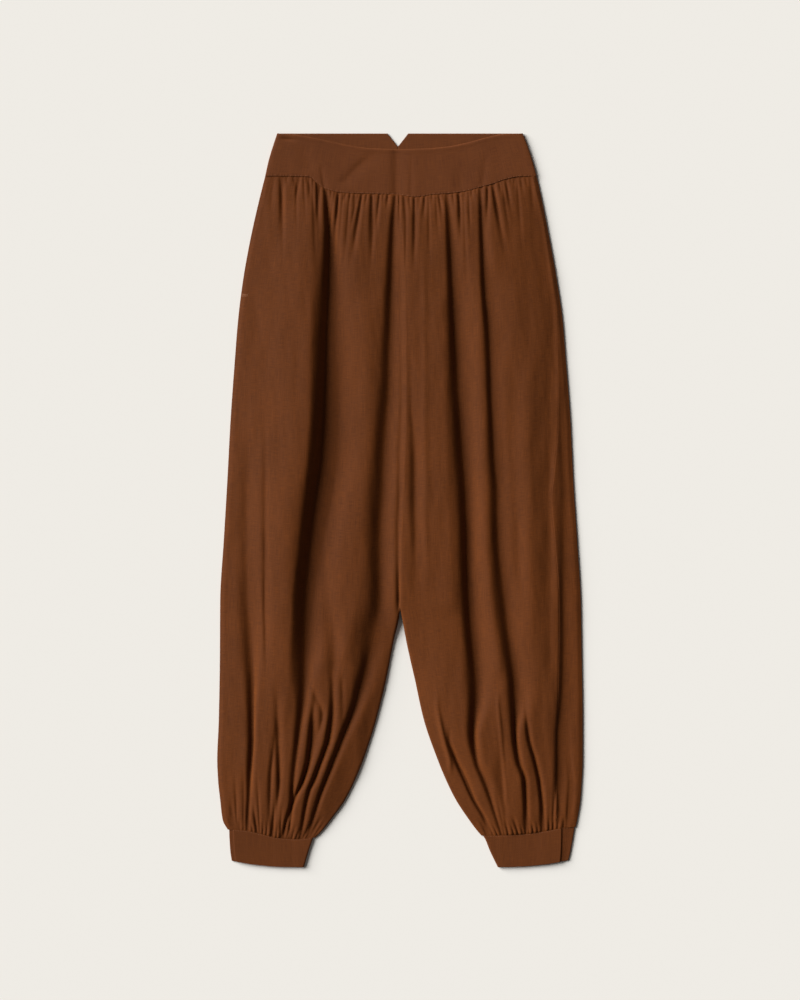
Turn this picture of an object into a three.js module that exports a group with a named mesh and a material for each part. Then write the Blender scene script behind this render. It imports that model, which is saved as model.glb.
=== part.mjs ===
// Baggy trousers laid flat, front up. Thin soft cloth is gathered into a wide waistband, which dips at
// the front and has a V notch at the back, and into a narrow cuff at each ankle.
// Sizes are in mm. X runs across the cloth, Y from the hems to the waist, and Z up from the surface
// that the cloth lies on. Left and right are as seen from above.
import * as THREE from "three";

// Walls, and the gap between two pieces at a seam
const clothThickness = 1.2;
const bandThickness = 2;
const cuffThickness = 1.8;
const bagThickness = 1;
const seamGap = 0.3;

// Heights. The back lies on the surface, and the front lies over it with the pocket bags between.
const seamHeight = 3.4;
const frontFloor = 4.3;
const bandHeight = 4.6;
const turnRadius = 2.4;
const frontRollRadius = 5;

// Landmarks along Y
const waistTop = 514;
const backWaistSeam = 454.3;
const crotch = -149.5;
const inseamTurnLength = 30;

// Each row of a table becomes an object with the named columns.
function table(columns, rows) {
  return rows.map((row) => Object.fromEntries(columns.map((column, i) => [column, row[i]])));
}

// Silhouette of the two legs and the waistband, from the waist down
const outline = table(["y", "left", "right"], [
  [514, -172, 172],
  [496, -178, 179],
  [476, -184, 185.5],
  [454, -189, 191.5],
  [420, -197.5, 199],
  [364, -210, 210],
  [308, -220, 220],
  [252, -227, 228],
  [196, -231.5, 232.5],
  [112, -237.5, 239],
  [28, -242, 243],
  [-56, -247, 248.5],
  [-140, -252, 253.5],
  [-224, -252.5, 255],
  [-308, -254, 256.2],
  [-364, -256.2, 256.2],
  [-392, -255, 255],
  [-420, -252, 253],
  [-448, -248.5, 248.5],
  [-462, -241, 245.5],
]);

// Inner silhouette of each leg, from the crotch down
const inseam = table(["y", "left", "right"], [
  [crotch, 0, 0],
  [-168, -2, 3.5],
  [-196, -8.5, 8.5],
  [-252, -19.5, 21],
  [-308, -33.5, 33.5],
  [-364, -51.5, 53],
  [-392, -63, 64.5],
  [-420, -77, 78.5],
  [-448, -97, 97],
  [-462, -108, 107.5],
  [-475, -121, 119],
]);

// Centre seams
const centreSeam = table(["y", "front", "back"], [
  [430, -4, -3],
  [350, 6, -3],
  [158, 9.5, -2],
  [91, 8.5, -2],
  [-42, 3, -1],
  [crotch, 0, 0],
]);

// Lower seam and upper edge of the front waistband, which dip towards the middle
const waistSeamLine = table(["x", "y"], [
  [-189, 454.3],
  [-150, 454],
  [-126, 453],
  [-116, 444],
  [-104, 436.5],
  [-86, 431.5],
  [-64, 430],
  [-7, 428.5],
  [21, 425],
  [48, 428.5],
  [70, 430],
  [92, 433],
  [110, 438],
  [129, 443],
  [147, 449.5],
  [168, 453.5],
  [191, 454.3],
]);
const waistTopLine = table(["x", "y"], [
  [-172, 513.5],
  [-150, 511.5],
  [-122, 507],
  [-94, 501],
  [-67, 495.5],
  [-39, 492],
  [-3, 491],
  [29, 491.5],
  [66, 494.5],
  [94, 500],
  [120, 507],
  [144, 512],
  [172, 513.5],
]);
const notch = { x: -3, halfWidth: 14.5, depth: 18.5 };

// How far the back wraps over the top at the right before it meets the side seam of the front
const rightWrap = table(["y", "width"], [
  [454, 5],
  [434, 5],
  [408, 3.5],
  [370, 4],
  [324, 6],
  [279, 7],
  [238, 10],
  [196, 12],
  [146, 15.5],
  [91, 20],
  [38, 27],
  [-3, 33],
  [-70, 32],
  [-123, 31.5],
  [-263, 35],
  [-361, 38],
  [-434, 34],
  [-462, 22],
]);

// Cuffs: the seam with the leg and the lower edge across each, the sides from top to bottom, and how
// far in from the outer side the lap ends
const cuffs = {
  left: {
    seam: table(["x", "y"], [
      [-238, -461.5],
      [-217, -463],
      [-197, -467],
      [-172, -473],
      [-143, -475],
      [-120, -472.5],
    ]),
    hem: table(["x", "y"], [
      [-236, -505],
      [-204, -510.5],
      [-168, -513.5],
      [-134, -514],
    ]),
    sides: table(["y", "outer", "inner"], [
      [-461, -239.5, -118],
      [-474, -239, -122],
      [-490, -238, -127.5],
      [-514, -234.5, -134.5],
    ]),
    lap: { top: 5, bottom: 5 },
  },
  right: {
    seam: table(["x", "y"], [
      [119, -470],
      [143, -469.5],
      [178, -467.5],
      [202, -464],
      [221, -460.5],
      [245, -457.5],
    ]),
    hem: table(["x", "y"], [
      [137, -514],
      [171, -513],
      [207, -509.5],
      [224, -506.5],
      [237, -504],
    ]),
    sides: table(["y", "outer", "inner"], [
      [-457, 245, 112],
      [-470, 243, 117],
      [-476, 242, 120],
      [-490, 239.5, 125.5],
      [-514, 234, 137],
    ]),
    lap: { top: 17.5, bottom: 10.7 },
  },
};
const underlap = 11;
const cuffTop = -466;
const cuffBottom = -510;

// Clear space between the layers of a cuff: back to underlap, underlap to lap, and back to front
const cuffGaps = { underlap: 0.5, lap: 0.4, front: 1.6 };

// How high the cloth of the front stands by itself, along the leg
const puff = table(["y", "height"], [
  [454, 4],
  [420, 7],
  [308, 10.5],
  [28, 11.5],
  [-252, 11.5],
  [-364, 11],
  [-430, 9],
  [-462, 5],
]);

// It rises slowly to that from the silhouettes and from the seams with the bands.
const outerShoulder = 105;
const innerShoulder = 70;
const seamShoulder = 45;
const shareAtSeam = 0.6;

// Above the crotch the puff of the two legs runs together, from this far up and over this length.
const legsPartAbove = 60;
const legsPartOver = 150;

// How blunt the bottom of a fold is, and how softly the cloth stops on what lies under it
const foldBluntness = 1.9;
const settleSoftness = 1;

// A gather widens from its seam to its end. It keeps its depth over the first part of its length.
const gatherWidth = { atSeam: 1.2, atEnd: 1.8 };
const gatherHeld = 0.2;

// Gathers under the front waistband: where each starts at the seam, how far it leans over its length,
// half its width, and its depth
const gatherColumns = ["x", "lean", "length", "reach", "depth"];
const waistGathers = table(gatherColumns, [
  [-178, -3, 60, 3, 1],
  [-166, 1.5, 106, 2.8, 2.6],
  [-158, 0, 20, 2, 1.2],
  [-149, 4, 18, 2, 1.2],
  [-141, -3, 36, 2.4, 1.6],
  [-131, 3, 40, 2.4, 1.2],
  [-112, -3, 80, 2.8, 0.8],
  [-86, -10, 139, 3, 2.8],
  [-75.5, -4, 20, 2, 1.2],
  [-64, -2, 34, 2.2, 1.4],
  [-53, -17, 113, 2.8, 2],
  [-39, -1.5, 100, 2.8, 2],
  [-28, -8, 75, 2.2, 1.6],
  [-17, -3, 26, 2, 1.4],
  [6, 2, 62, 2, 1.4],
  [20.5, -1, 125, 2.4, 2],
  [35, -3, 42, 2.4, 1.8],
  [45, 0, 18, 2, 1.2],
  [54.5, 5.5, 40, 2.4, 1.6],
  [82.5, 4, 82, 2.8, 2.6],
  [100.5, 0, 20, 2, 1.2],
  [123, -1.5, 72, 2.6, 2.4],
  [131, 19, 118, 3, 2.4],
  [148.5, 8, 58, 2.6, 1.8],
  [160.5, 0, 20, 2, 1.2],
  [170, 4, 34, 2.2, 1.4],
  [181, 5, 60, 2.6, 1.6],
]);

// Gathers above the front of each cuff, in the same columns, from the seam upwards
const cuffGathers = {
  left: table(gatherColumns, [
    [-232, -6, 48, 2.6, 1.8],
    [-224, 0, 24, 2, 1.4],
    [-213, 0, 54, 2.6, 2],
    [-200, -7, 56, 2.6, 2],
    [-191, 1, 22, 2, 1.4],
    [-180, 5, 54, 2.6, 2],
    [-160, 3, 30, 2.2, 1.6],
    [-151, 4, 22, 2, 1.4],
    [-123, 18, 36, 2.4, 2],
  ]),
  right: table(gatherColumns, [
    [133, -12, 30, 2.2, 1.6],
    [152, -7, 36, 2.4, 1.6],
    [165, -9, 32, 2.4, 1.8],
    [187, -4, 24, 2.2, 1.6],
    [209, 0, 26, 2.2, 1.6],
    [219, 1, 22, 2, 1.4],
  ]),
};

// Long folds of the front. Each lists its stations from the top down: x and y, how far it reaches to
// the left and to the right, and its depth. A ridge has a negative depth.
const foldColumns = ["x", "y", "left", "right", "depth"];
const longFolds = [
  // Left leg, from the outer side inwards
  [[-213, 60, 8, 12, 1], [-213, -50, 9, 14, 3], [-212, -140, 10, 18, 4.6], [-209, -189, 9, 13, 5.6],
    [-206, -263, 7, 6, 7], [-206, -329, 5, 4, 7.4], [-210, -392, 4, 3.6, 5], [-212, -446, 3, 3, 2]],
  [[-188, 60, 3, 4, 0.6], [-188, -50, 4, 5, 1.6], [-189, -140, 3, 8, 2], [-188, -200, 3, 7, 1]],
  [[-126, 340, 26, 12, -1.2], [-126, 200, 32, 14, -3.2], [-130, 60, 32, 14, -4], [-142, -50, 30, 12, -4],
    [-152, -150, 24, 11, -3.4], [-158, -260, 20, 11, -1.8], [-170, -340, 12, 10, -1.2]],
  [[-103, 432, 3, 3, 1.6], [-100, 380, 5, 9, 6], [-98, 300, 9, 22, 9], [-99.5, 220, 10, 30, 11],
    [-101.5, 140, 11, 34, 12.5], [-105, 60, 14, 34, 13.5], [-111, 10, 17, 30, 13.5],
    [-119, -50, 17, 28, 12.5], [-129, -140, 14, 24, 11], [-131, -189, 12, 20, 10], [-134, -263, 8, 9, 7.5],
    [-142, -329, 4.5, 5, 5], [-149, -392, 4, 4, 3.6], [-152, -430, 3, 3, 2]],
  [[-106, -90, 6, 8, 1], [-100, -140, 9, 10, 2.2], [-93, -189, 14, 10, 3.6], [-90, -225, 9, 7, 1.6]],
  [[-48, 260, 22, 12, -1], [-50, 100, 26, 14, -1.8], [-55, -60, 24, 12, -1.8], [-62, -140, 17, 12, -2],
    [-76, -210, 12, 10, -1.4]],
  [[-6, 429, 2.6, 2.6, 3], [-10, 380, 4, 8, 5], [-12, 300, 6, 16, 6.4], [-14.5, 220, 8, 18, 7],
    [-16, 150, 10, 20, 7.6], [-22, 70, 11, 18, 8], [-24, 10, 12, 18, 8], [-27, -50, 12, 18, 8],
    [-28, -140, 11, 14, 7], [-36, -189, 15, 20, 6], [-45, -226, 8, 14, 6], [-56, -263, 6, 12, 6.4],
    [-63, -287, 5, 9, 6], [-80, -331, 4.4, 6, 5.6], [-101, -385, 3.6, 4.5, 5],
    [-113, -417, 3.4, 3.6, 4.4], [-130, -475, 2.6, 2.6, 2.6]],
  [[-176, -340, 3, 3, 1.2], [-181, -392, 3.4, 3.4, 2.6], [-182, -434, 3, 3, 1.4]],
  [[-171, -295, 4, 5, 1.4], [-170, -329, 4.4, 6, 4], [-169, -392, 3, 4, 3.4], [-172, -432, 3, 3, 1.4]],
  [[-127, -257, 3, 3, 1.4], [-117, -275, 3, 4, 2.6], [-108, -299, 3, 3.4, 3.4],
    [-110, -315, 3, 3, 2.6], [-115, -328, 3, 3, 1.4]],
  [[-122, -292, 3, 3.4, 2.6], [-124, -329, 3.6, 8, 5.4], [-128, -365, 3.6, 5, 6],
    [-135.5, -392, 3.4, 3.6, 6.4], [-145, -413, 3.2, 3.2, 5.4], [-156, -440, 3, 3, 3.4],
    [-166, -475, 2.6, 2.6, 2.4]],
  [[-95, -247, 3.4, 3.4, 2.6], [-94, -280, 3.4, 4, 4], [-99, -329, 4, 5, 6.4], [-112, -370, 3.8, 4, 6],
    [-120.5, -392, 3.4, 4, 6], [-127, -407, 3.2, 3.4, 5], [-140, -475, 2.6, 2.6, 2.6]],
  // Right leg, from the centre seam outwards
  [[16, 200, 5, 8, 1], [20.5, 60, 6, 9, 2.8], [20.5, 10, 6, 9, 3.2], [22, -50, 6, 9, 2.4],
    [21, -110, 6, 8, 1]],
  [[34, 300, 5, 5, -0.8], [36, -60, 5, 5, -1]],
  [[58, 270, 20, 9, -1.2], [64, 60, 24, 10, -1.8], [72, -140, 22, 10, -1.8]],
  [[67, 429, 2.8, 2.8, 3], [70, 380, 4, 9, 5], [73, 300, 5, 24, 7], [77, 220, 6, 27, 8.5],
    [83, 140, 9, 26, 9.4], [88.5, 60, 9, 22, 10.4], [92.5, 10, 9, 20, 11], [94, -50, 8, 18, 11],
    [97.5, -140, 8, 20, 11], [100.5, -189, 8, 22, 10.6], [107, -263, 9, 16, 9.4], [103, -329, 6, 5, 8],
    [108, -368, 4, 6, 5], [118, -392, 4, 8, 4.4], [126, -415, 3.4, 5, 3.4], [143, -468, 2.6, 2.6, 2]],
  [[110, 262, 9, 8, -1.2], [114, 60, 10, 9, -1.6], [126, -140, 12, 9, -1.6], [138, -230, 10, 8, -1.4]],
  [[114, 438, 2.6, 2.6, 2.6], [116.5, 342, 4, 10, 5], [118, 300, 4, 26, 6.4], [125, 220, 5, 28, 6.6],
    [128, 140, 5, 28, 6.6], [132, 60, 6, 26, 7.2], [136.5, 10, 8, 22, 8], [137.5, -50, 8, 22, 8],
    [147, -140, 10, 24, 8.2], [152, -189, 9, 20, 8.2], [160, -263, 7, 18, 8], [161.5, -329, 4.4, 4, 7.4],
    [166, -365, 4, 4.4, 5.6], [174.5, -392, 3.4, 4, 5], [176.5, -468, 2.6, 2.6, 2.4]],
  [[158, 200, 9, 9, 0.6], [162, 20, 9, 9, 1.6], [166, -80, 9, 9, 1.8], [170, -120, 8, 8, 1]],
  [[180, 200, 9, 9, -0.5], [180.5, 130, 10, 10, -1], [183, -120, 10, 10, -1.4]],
  [[206, 200, 9, 6, 0.5], [209, 20, 10, 6, 1], [210, -97, 9, 6, 1.4], [209, -200, 8, 6, 0.8]],
  [[52, -290, 3.4, 3.4, -1], [60, -329, 3.6, 3.2, -2.4], [70, -365, 3.4, 3.2, -1.8]],
  [[69, -340, 3, 3.4, 2], [80, -367, 3.2, 4, 4.6], [91.5, -392, 3.2, 5, 5.6], [104, -420, 3, 3.6, 4.6],
    [119, -447, 3, 3, 3.4], [125, -469, 2.6, 2.6, 2.4]],
  [[142, -350, 6, 5, 1], [145, -392, 9, 4, 2], [147, -430, 6, 4, 1]],
  [[177, -300, 3, 3, 1.4], [179.5, -329, 3, 3.6, 3.6], [189, -365, 3, 3.4, 4], [196, -398, 3, 3.4, 4.4],
    [199, -434, 3, 3, 3.4], [199, -464, 2.6, 2.6, 2]],
  [[228, 50, 5, 12, 0.8], [230, -50, 6, 12, 1.4], [228, -140, 6, 12, 2.8], [230, -200, 7, 13, 3.8],
    [229, -263, 7, 15, 4.6], [222, -329, 5, 16, 5.2], [221, -392, 4.4, 12, 4], [222, -430, 3.4, 6, 2]],
  [[232, -312, 3, 3, 1.2], [233, -335, 3, 4, 2], [238, -375, 3, 3, 3.2], [240, -398, 3, 3, 3.8],
    [239, -430, 3, 3, 3.2], [235, -458, 2.6, 2.6, 2]],
];

// Creases in the front waistband, in the same columns
const bandCreases = [
  [[-43, 482, 5, 5, 0.5], [-62, 464, 5, 5, 0.9], [-76, 448, 5, 5, 0.6]],
  [[-6, 490, 4, 5, 0.7], [-6, 430, 4, 5, 0.9]],
  [[16, 478, 3, 3, 0.4], [15, 430, 3, 3, 0.6]],
  [[-107, 460, 3, 3, 0.5], [-105, 440, 3, 3, 0.8]],
  [[120, 480, 5, 5, 0.3], [120, 448, 5, 5, 0.8]],
];

// Rows of the leg panels: distance below the waist seam or above the cuff, and points across the
// front and across the back
const legLength = 915;
const topRows = table(["distance", "front", "back"], [
  [0, 52, 26],
  [6, 52, 26],
  [14, 48, 22],
  [26, 44, 14],
  [46, 38, 8],
  [72, 34, 6],
  [105, 30, 6],
]);
const middleRows = { first: 150, last: 700, count: 15, front: 33, back: 6 };
const bottomRows = table(["distance", "front", "back"], [
  [168, 32, 6],
  [134, 33, 6],
  [102, 34, 6],
  [74, 36, 6],
  [50, 38, 8],
  [31, 38, 14],
  [15, 40, 20],
  [6, 40, 22],
  [0, 40, 22],
]);

// Pocket bags: top, and how far they reach inwards at each distance below it
const pocketTop = 410;
const pocketInset = 7;
const pocketReach = table(["below", "reach"], [
  [0, 62],
  [50, 96],
  [110, 118],
  [160, 112],
  [195, 84],
  [218, 40],
]);

// Dyed cloth, and the stiffer doubled cloth of the bands
const clothMaterial = { color: 0x6b3a1a, roughness: 0.78, metalness: 0 };
const bandMaterial = { color: 0x683819, roughness: 0.8, metalness: 0 };

const alongX = new THREE.Vector3(1, 0, 0);
const alongY = new THREE.Vector3(0, 1, 0);
const alongZ = new THREE.Vector3(0, 0, 1);

// A curve through (at, value) rows that never overshoots them
function curveOf(rows, at, value) {
  const sorted = [...rows].sort((a, b) => a[at] - b[at]);
  const t = sorted.map((row) => row[at]);
  const v = sorted.map((row) => row[value]);
  const steps = t.slice(1).map((next, i) => (v[i + 1] - v[i]) / (next - t[i]));
  const slopes = v.map((_, i) => {
    if (i === 0 || i === v.length - 1) {
      return steps[Math.min(i, steps.length - 1)];
    }
    const before = steps[i - 1];
    const after = steps[i];
    return before * after <= 0 ? 0 : (2 * before * after) / (before + after);
  });
  return (where) => {
    const held = THREE.MathUtils.clamp(where, t[0], t[t.length - 1]);
    const i = Math.min(t.findLastIndex((start) => start <= held), t.length - 2);
    const length = t[i + 1] - t[i];
    const f = (held - t[i]) / length;
    const rise = (3 - 2 * f) * f * f;
    const leave = f * (1 - f) * (1 - f) * length;
    const arrive = -f * f * (1 - f) * length;
    return v[i] + (v[i + 1] - v[i]) * rise + slopes[i] * leave + slopes[i + 1] * arrive;
  };
}

const waistSeamAt = curveOf(waistSeamLine, "x", "y");
const waistTopAt = curveOf(waistTopLine, "x", "y");
const wrapAt = curveOf(rightWrap, "y", "width");
const puffAt = curveOf(puff, "y", "height");
const centreAt = {
  front: curveOf(centreSeam, "y", "front"),
  back: curveOf(centreSeam, "y", "back"),
};
const outerAt = { left: curveOf(outline, "y", "left"), right: curveOf(outline, "y", "right") };
const inseamAt = { left: curveOf(inseam, "y", "left"), right: curveOf(inseam, "y", "right") };
const cuffSeamAt = {
  left: curveOf(cuffs.left.seam, "x", "y"),
  right: curveOf(cuffs.right.seam, "x", "y"),
};

// A trough, or a ridge where the depth is negative, steeper on the side with the shorter reach
function foldProfile(offset, left, right, depth) {
  const t = Math.abs(offset) / (offset < 0 ? left : right);
  return -depth * Math.exp(-(t ** foldBluntness));
}

// A fold as a function of x and y. It fades out just past its two ends.
function makeFold(rows) {
  const stations = table(foldColumns, rows);
  const path = curveOf(stations, "y", "x");
  const left = curveOf(stations, "y", "left");
  const right = curveOf(stations, "y", "right");
  const depth = curveOf(stations, "y", "depth");
  const top = stations[0].y;
  const bottom = stations[stations.length - 1].y;
  const fade = 26;
  return (x, y) => {
    const past = Math.max(y - top, bottom - y, 0);
    const strength = 1 - THREE.MathUtils.smoothstep(past, 0, fade);
    return strength === 0 ? 0 : foldProfile(x - path(y), left(y), right(y), depth(y) * strength);
  };
}

// A gather as a function of x and of the distance from its seam
function makeGather({ x, lean, length, reach, depth }) {
  return (at, distance) => {
    const f = distance / length;
    const strength = 1 - THREE.MathUtils.smoothstep(f, gatherHeld, 1);
    const widened = reach * THREE.MathUtils.lerp(gatherWidth.atSeam, gatherWidth.atEnd, Math.min(f, 1));
    return strength === 0 ? 0 : foldProfile(at - x - lean * f, widened, widened, depth * strength);
  };
}

// Even but unlike gathers for the hidden side: their spacing, lean, length and depth all wander
function backGathers(from, to, count, longest) {
  const pitch = (to - from) / count;
  return Array.from({ length: count }, (_, i) => makeGather({
    x: from + pitch * (i + 0.5 + 0.25 * Math.sin(5.1 * i)),
    lean: 3 * Math.sin(2.3 * i),
    length: longest * (0.7 + 0.3 * Math.cos(3.7 * i)),
    reach: pitch * 0.2,
    depth: -1 - 0.3 * Math.sin(4.3 * i),
  }));
}

const folds = longFolds.map(makeFold);
const creases = bandCreases.map(makeFold);
const gathersAtWaist = waistGathers.map(makeGather);
const gathersAtCuff = {
  left: cuffGathers.left.map(makeGather),
  right: cuffGathers.right.map(makeGather),
};
const gathersOfBack = {
  left: { waist: backGathers(-185, -6, 13, 24), cuff: backGathers(-236, -124, 9, 26) },
  right: { waist: backGathers(0, 187, 13, 24), cuff: backGathers(122, 242, 9, 26) },
};

function total(parts, ...place) {
  return parts.reduce((sum, part) => sum + part(...place), 0);
}

// Cloth stops softly at whatever lies under it.
function settle(height) {
  return (height + Math.sqrt(height * height + settleSoftness ** 2)) / 2;
}

// A quarter turn: 0 at the edge, 1 from the radius inwards
function roll(distance, radius) {
  const left = 1 - THREE.MathUtils.clamp(distance / radius, 0, 1);
  return Math.sqrt(1 - left * left);
}

// 0 where the two legs are one body, 1 where each leg has an inner edge of its own
function partedAt(y) {
  return THREE.MathUtils.smoothstep(crotch - y, 0, inseamTurnLength);
}

// A slow rise from an edge: 0 there, 1 from the reach inwards
function shoulder(distance, reach) {
  return Math.sin((Math.PI / 2) * THREE.MathUtils.clamp(distance / reach, 0, 1));
}

// How much of the puff there is at a place
function puffShare(side, x, y) {
  const fromWaist = waistSeamAt(x) - y;
  const fromCuff = y - cuffSeamAt[side](x);
  const outer = shoulder(Math.abs(outerAt[side](y) - x), outerShoulder);
  const inner = shoulder(Math.abs(inseamAt[side](y) - x), innerShoulder);
  const belowHips = THREE.MathUtils.smoothstep(crotch + legsPartAbove - y, 0, legsPartOver);
  const seams = THREE.MathUtils.smoothstep(Math.min(fromWaist, fromCuff), 0, seamShoulder);
  return outer * THREE.MathUtils.lerp(1, inner, belowHips) * THREE.MathUtils.lerp(shareAtSeam, 1, seams);
}

// Height of the middle of the front's wall
function frontHeight(side, x, y) {
  const lift = puffAt(y) * puffShare(side, x, y) + total(folds, x, y)
    + total(gathersAtWaist, x, waistSeamAt(x) - y)
    + total(gathersAtCuff[side], x, y - cuffSeamAt[side](x));
  const body = frontFloor + settle(lift);
  const edge = seamHeight + seamGap / 2;
  const half = clothThickness / 2;
  const outer = roll(Math.abs(outerAt[side](y) - x) - half, frontRollRadius);
  const inner = roll(Math.abs(inseamAt[side](y) - x) - half, frontRollRadius);
  const rolled = outer * THREE.MathUtils.lerp(1, inner, partedAt(y));
  return edge + (body - edge) * rolled;
}

// X of the middle of the wall along the inner edge of a front or back panel
function innerEdge(side, layer, y) {
  const sign = side === "left" ? -1 : 1;
  const inset = THREE.MathUtils.lerp(seamGap / 2, clothThickness / 2, partedAt(y));
  const line = y > crotch ? centreAt[layer](y) : inseamAt[side](y);
  return line + sign * inset;
}

// X of the middle of the wall along the silhouette
function outerEdge(side, y, thickness) {
  const sign = side === "left" ? -1 : 1;
  return outerAt[side](y) - sign * thickness / 2;
}

// The direction across the seam at the inner edge: sideways between the legs, upwards below the crotch
function innerGap(y) {
  return alongX.clone().lerp(alongZ, partedAt(y)).normalize();
}

// Distances across a width, closer together where the cloth rolls over at either edge
function spread(width, count) {
  const near = [0, 0.12, 0.45, 1].map((part) => part * frontRollRadius);
  const far = near.map((distance) => width - distance).reverse();
  const steps = count - near.length * 2 + 1;
  const between = Array.from({ length: steps - 1 }, (_, i) => (
    THREE.MathUtils.lerp(near[3], far[0], (i + 1) / steps)
  ));
  return [...near, ...between, ...far];
}

// A wall of even thickness round a sheet of points. Each row has its points in order of u, and the
// directions across the seams at its two ends. The rims there and along the first and last rows stay
// square to their seams. Where upright is set, the rims of the first and last rows stand straight up,
// apart from the few points at each end where the cloth rolls over.
function clothWall(rows, thickness, upright = false) {
  const points = rows.flatMap((row) => row.points);
  const starts = rows.map((_, r) => (
    rows.slice(0, r).reduce((count, row) => count + row.points.length, 0)
  ));
  const triangles = [];
  for (let r = 0; r < rows.length - 1; r += 1) {
    const upper = rows[r].points;
    const lower = rows[r + 1].points;
    let a = 0;
    let b = 0;
    while (a < upper.length - 1 || b < lower.length - 1) {
      const lowerDone = b === lower.length - 1;
      if (lowerDone || (a < upper.length - 1 && upper[a + 1].u <= lower[b + 1].u)) {
        triangles.push([starts[r] + a, starts[r + 1] + b, starts[r] + a + 1]);
        a += 1;
      } else {
        triangles.push([starts[r] + a, starts[r + 1] + b, starts[r + 1] + b + 1]);
        b += 1;
      }
    }
  }

  const places = points.map((point) => new THREE.Vector3(point.x, point.y, point.z));
  const normals = places.map(() => new THREE.Vector3());
  for (const [a, b, c] of triangles) {
    const across = places[b].clone().sub(places[a]);
    const along = places[c].clone().sub(places[a]);
    const facing = across.cross(along);
    normals[a].add(facing);
    normals[b].add(facing);
    normals[c].add(facing);
  }
  const squareTo = (i, direction) => normals[i].addScaledVector(direction, -normals[i].dot(direction));
  const lastRow = rows.length - 1;
  rows[0].points.forEach((_, i) => squareTo(i, alongY));
  rows[lastRow].points.forEach((_, i) => squareTo(starts[lastRow] + i, alongY));
  const rolledPoints = 4;
  for (const r of upright ? [0, lastRow] : []) {
    const flatPoints = rows[r].points.slice(rolledPoints, -rolledPoints);
    flatPoints.forEach((_, i) => squareTo(starts[r] + rolledPoints + i, alongX));
  }
  rows.forEach((row, r) => {
    squareTo(starts[r], row.startGap);
    squareTo(starts[r] + row.points.length - 1, row.endGap);
  });

  const over = places.map((place, i) => (
    place.clone().addScaledVector(normals[i].clone().normalize(), thickness / 2)
  ));
  const under = places.map((place, i) => (
    place.clone().addScaledVector(normals[i].clone().normalize(), -thickness / 2)
  ));
  const first = rows[0].points.map((_, i) => i).reverse();
  const leftSide = starts.slice(1);
  const last = rows[lastRow].points.map((_, i) => starts[lastRow] + i).slice(1);
  const rightSide = rows.map((row, r) => starts[r] + row.points.length - 1).slice(1, -1).reverse();
  const rim = [...first, ...leftSide, ...last, ...rightSide];
  const count = places.length;
  const faces = triangles.flatMap(([a, b, c]) => [[a, b, c], [a + count, c + count, b + count]]);
  rim.forEach((from, i) => {
    const to = rim[(i + 1) % rim.length];
    faces.push([to, from, from + count], [to, from + count, to + count]);
  });

  const geometry = new THREE.BufferGeometry();
  const corners = [...over, ...under].flatMap((corner) => corner.toArray());
  geometry.setAttribute("position", new THREE.Float32BufferAttribute(corners, 3));
  geometry.setIndex(faces.flat());
  geometry.computeVertexNormals();
  return geometry;
}

// Rows of a leg panel as fractions of the way from the waist to the cuff
function panelRows(layer) {
  const top = topRows.map((row) => ({ down: row.distance / legLength, count: row[layer] }));
  const bottom = bottomRows.map((row) => ({ down: 1 - row.distance / legLength, count: row[layer] }));
  const { first, last, count } = middleRows;
  const middle = Array.from({ length: count }, (_, i) => ({
    down: THREE.MathUtils.lerp(first, last, i / (count - 1)) / legLength,
    count: middleRows[layer],
  }));
  return [...top, ...middle, ...bottom];
}

// The place a given way down a leg, and a given way across it between two edges
function placeOnLeg(side, waistAt, leftEdge, rightEdge, down, across) {
  let y = THREE.MathUtils.lerp(backWaistSeam, cuffTop, down);
  let x = 0;
  for (let pass = 0; pass < 6; pass += 1) {
    x = THREE.MathUtils.lerp(leftEdge(y), rightEdge(y), across);
    const upper = waistAt(x) - seamGap / 2;
    const lower = cuffSeamAt[side](x) + seamGap / 2;
    y = THREE.MathUtils.lerp(upper, lower, down);
  }
  return { x, y };
}

// Front panel of one leg
function frontPanel(side) {
  const inner = (y) => innerEdge(side, "front", y);
  const silhouette = (y) => outerEdge(side, y, clothThickness);
  const sideSeam = (y) => outerAt[side](y) - wrapAt(y);
  const leftEdge = side === "left" ? silhouette : inner;
  const rightEdge = side === "left" ? inner : sideSeam;
  const rows = panelRows("front").map(({ down, count }) => {
    const middle = placeOnLeg(side, waistSeamAt, leftEdge, rightEdge, down, 0.5);
    const width = rightEdge(middle.y) - leftEdge(middle.y);
    const points = spread(width, count).map((distance) => {
      const u = distance / width;
      const { x, y } = placeOnLeg(side, waistSeamAt, leftEdge, rightEdge, down, u);
      return { u, x, y, z: frontHeight(side, x, y) };
    });
    const atInner = innerGap(side === "left" ? points[points.length - 1].y : points[0].y);
    return side === "left"
      ? { points, startGap: alongZ, endGap: atInner }
      : { points, startGap: atInner, endGap: alongX };
  });
  return clothWall(rows, clothThickness, true);
}

// Quarter turn of a back panel's edge, as fractions of its radius inwards and of its rise
const turnSteps = [0, 45, 90].map((degrees) => {
  const angle = THREE.MathUtils.degToRad(degrees);
  return { inwards: 1 - Math.cos(angle), rise: 1 - Math.sin(angle) };
});

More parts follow.
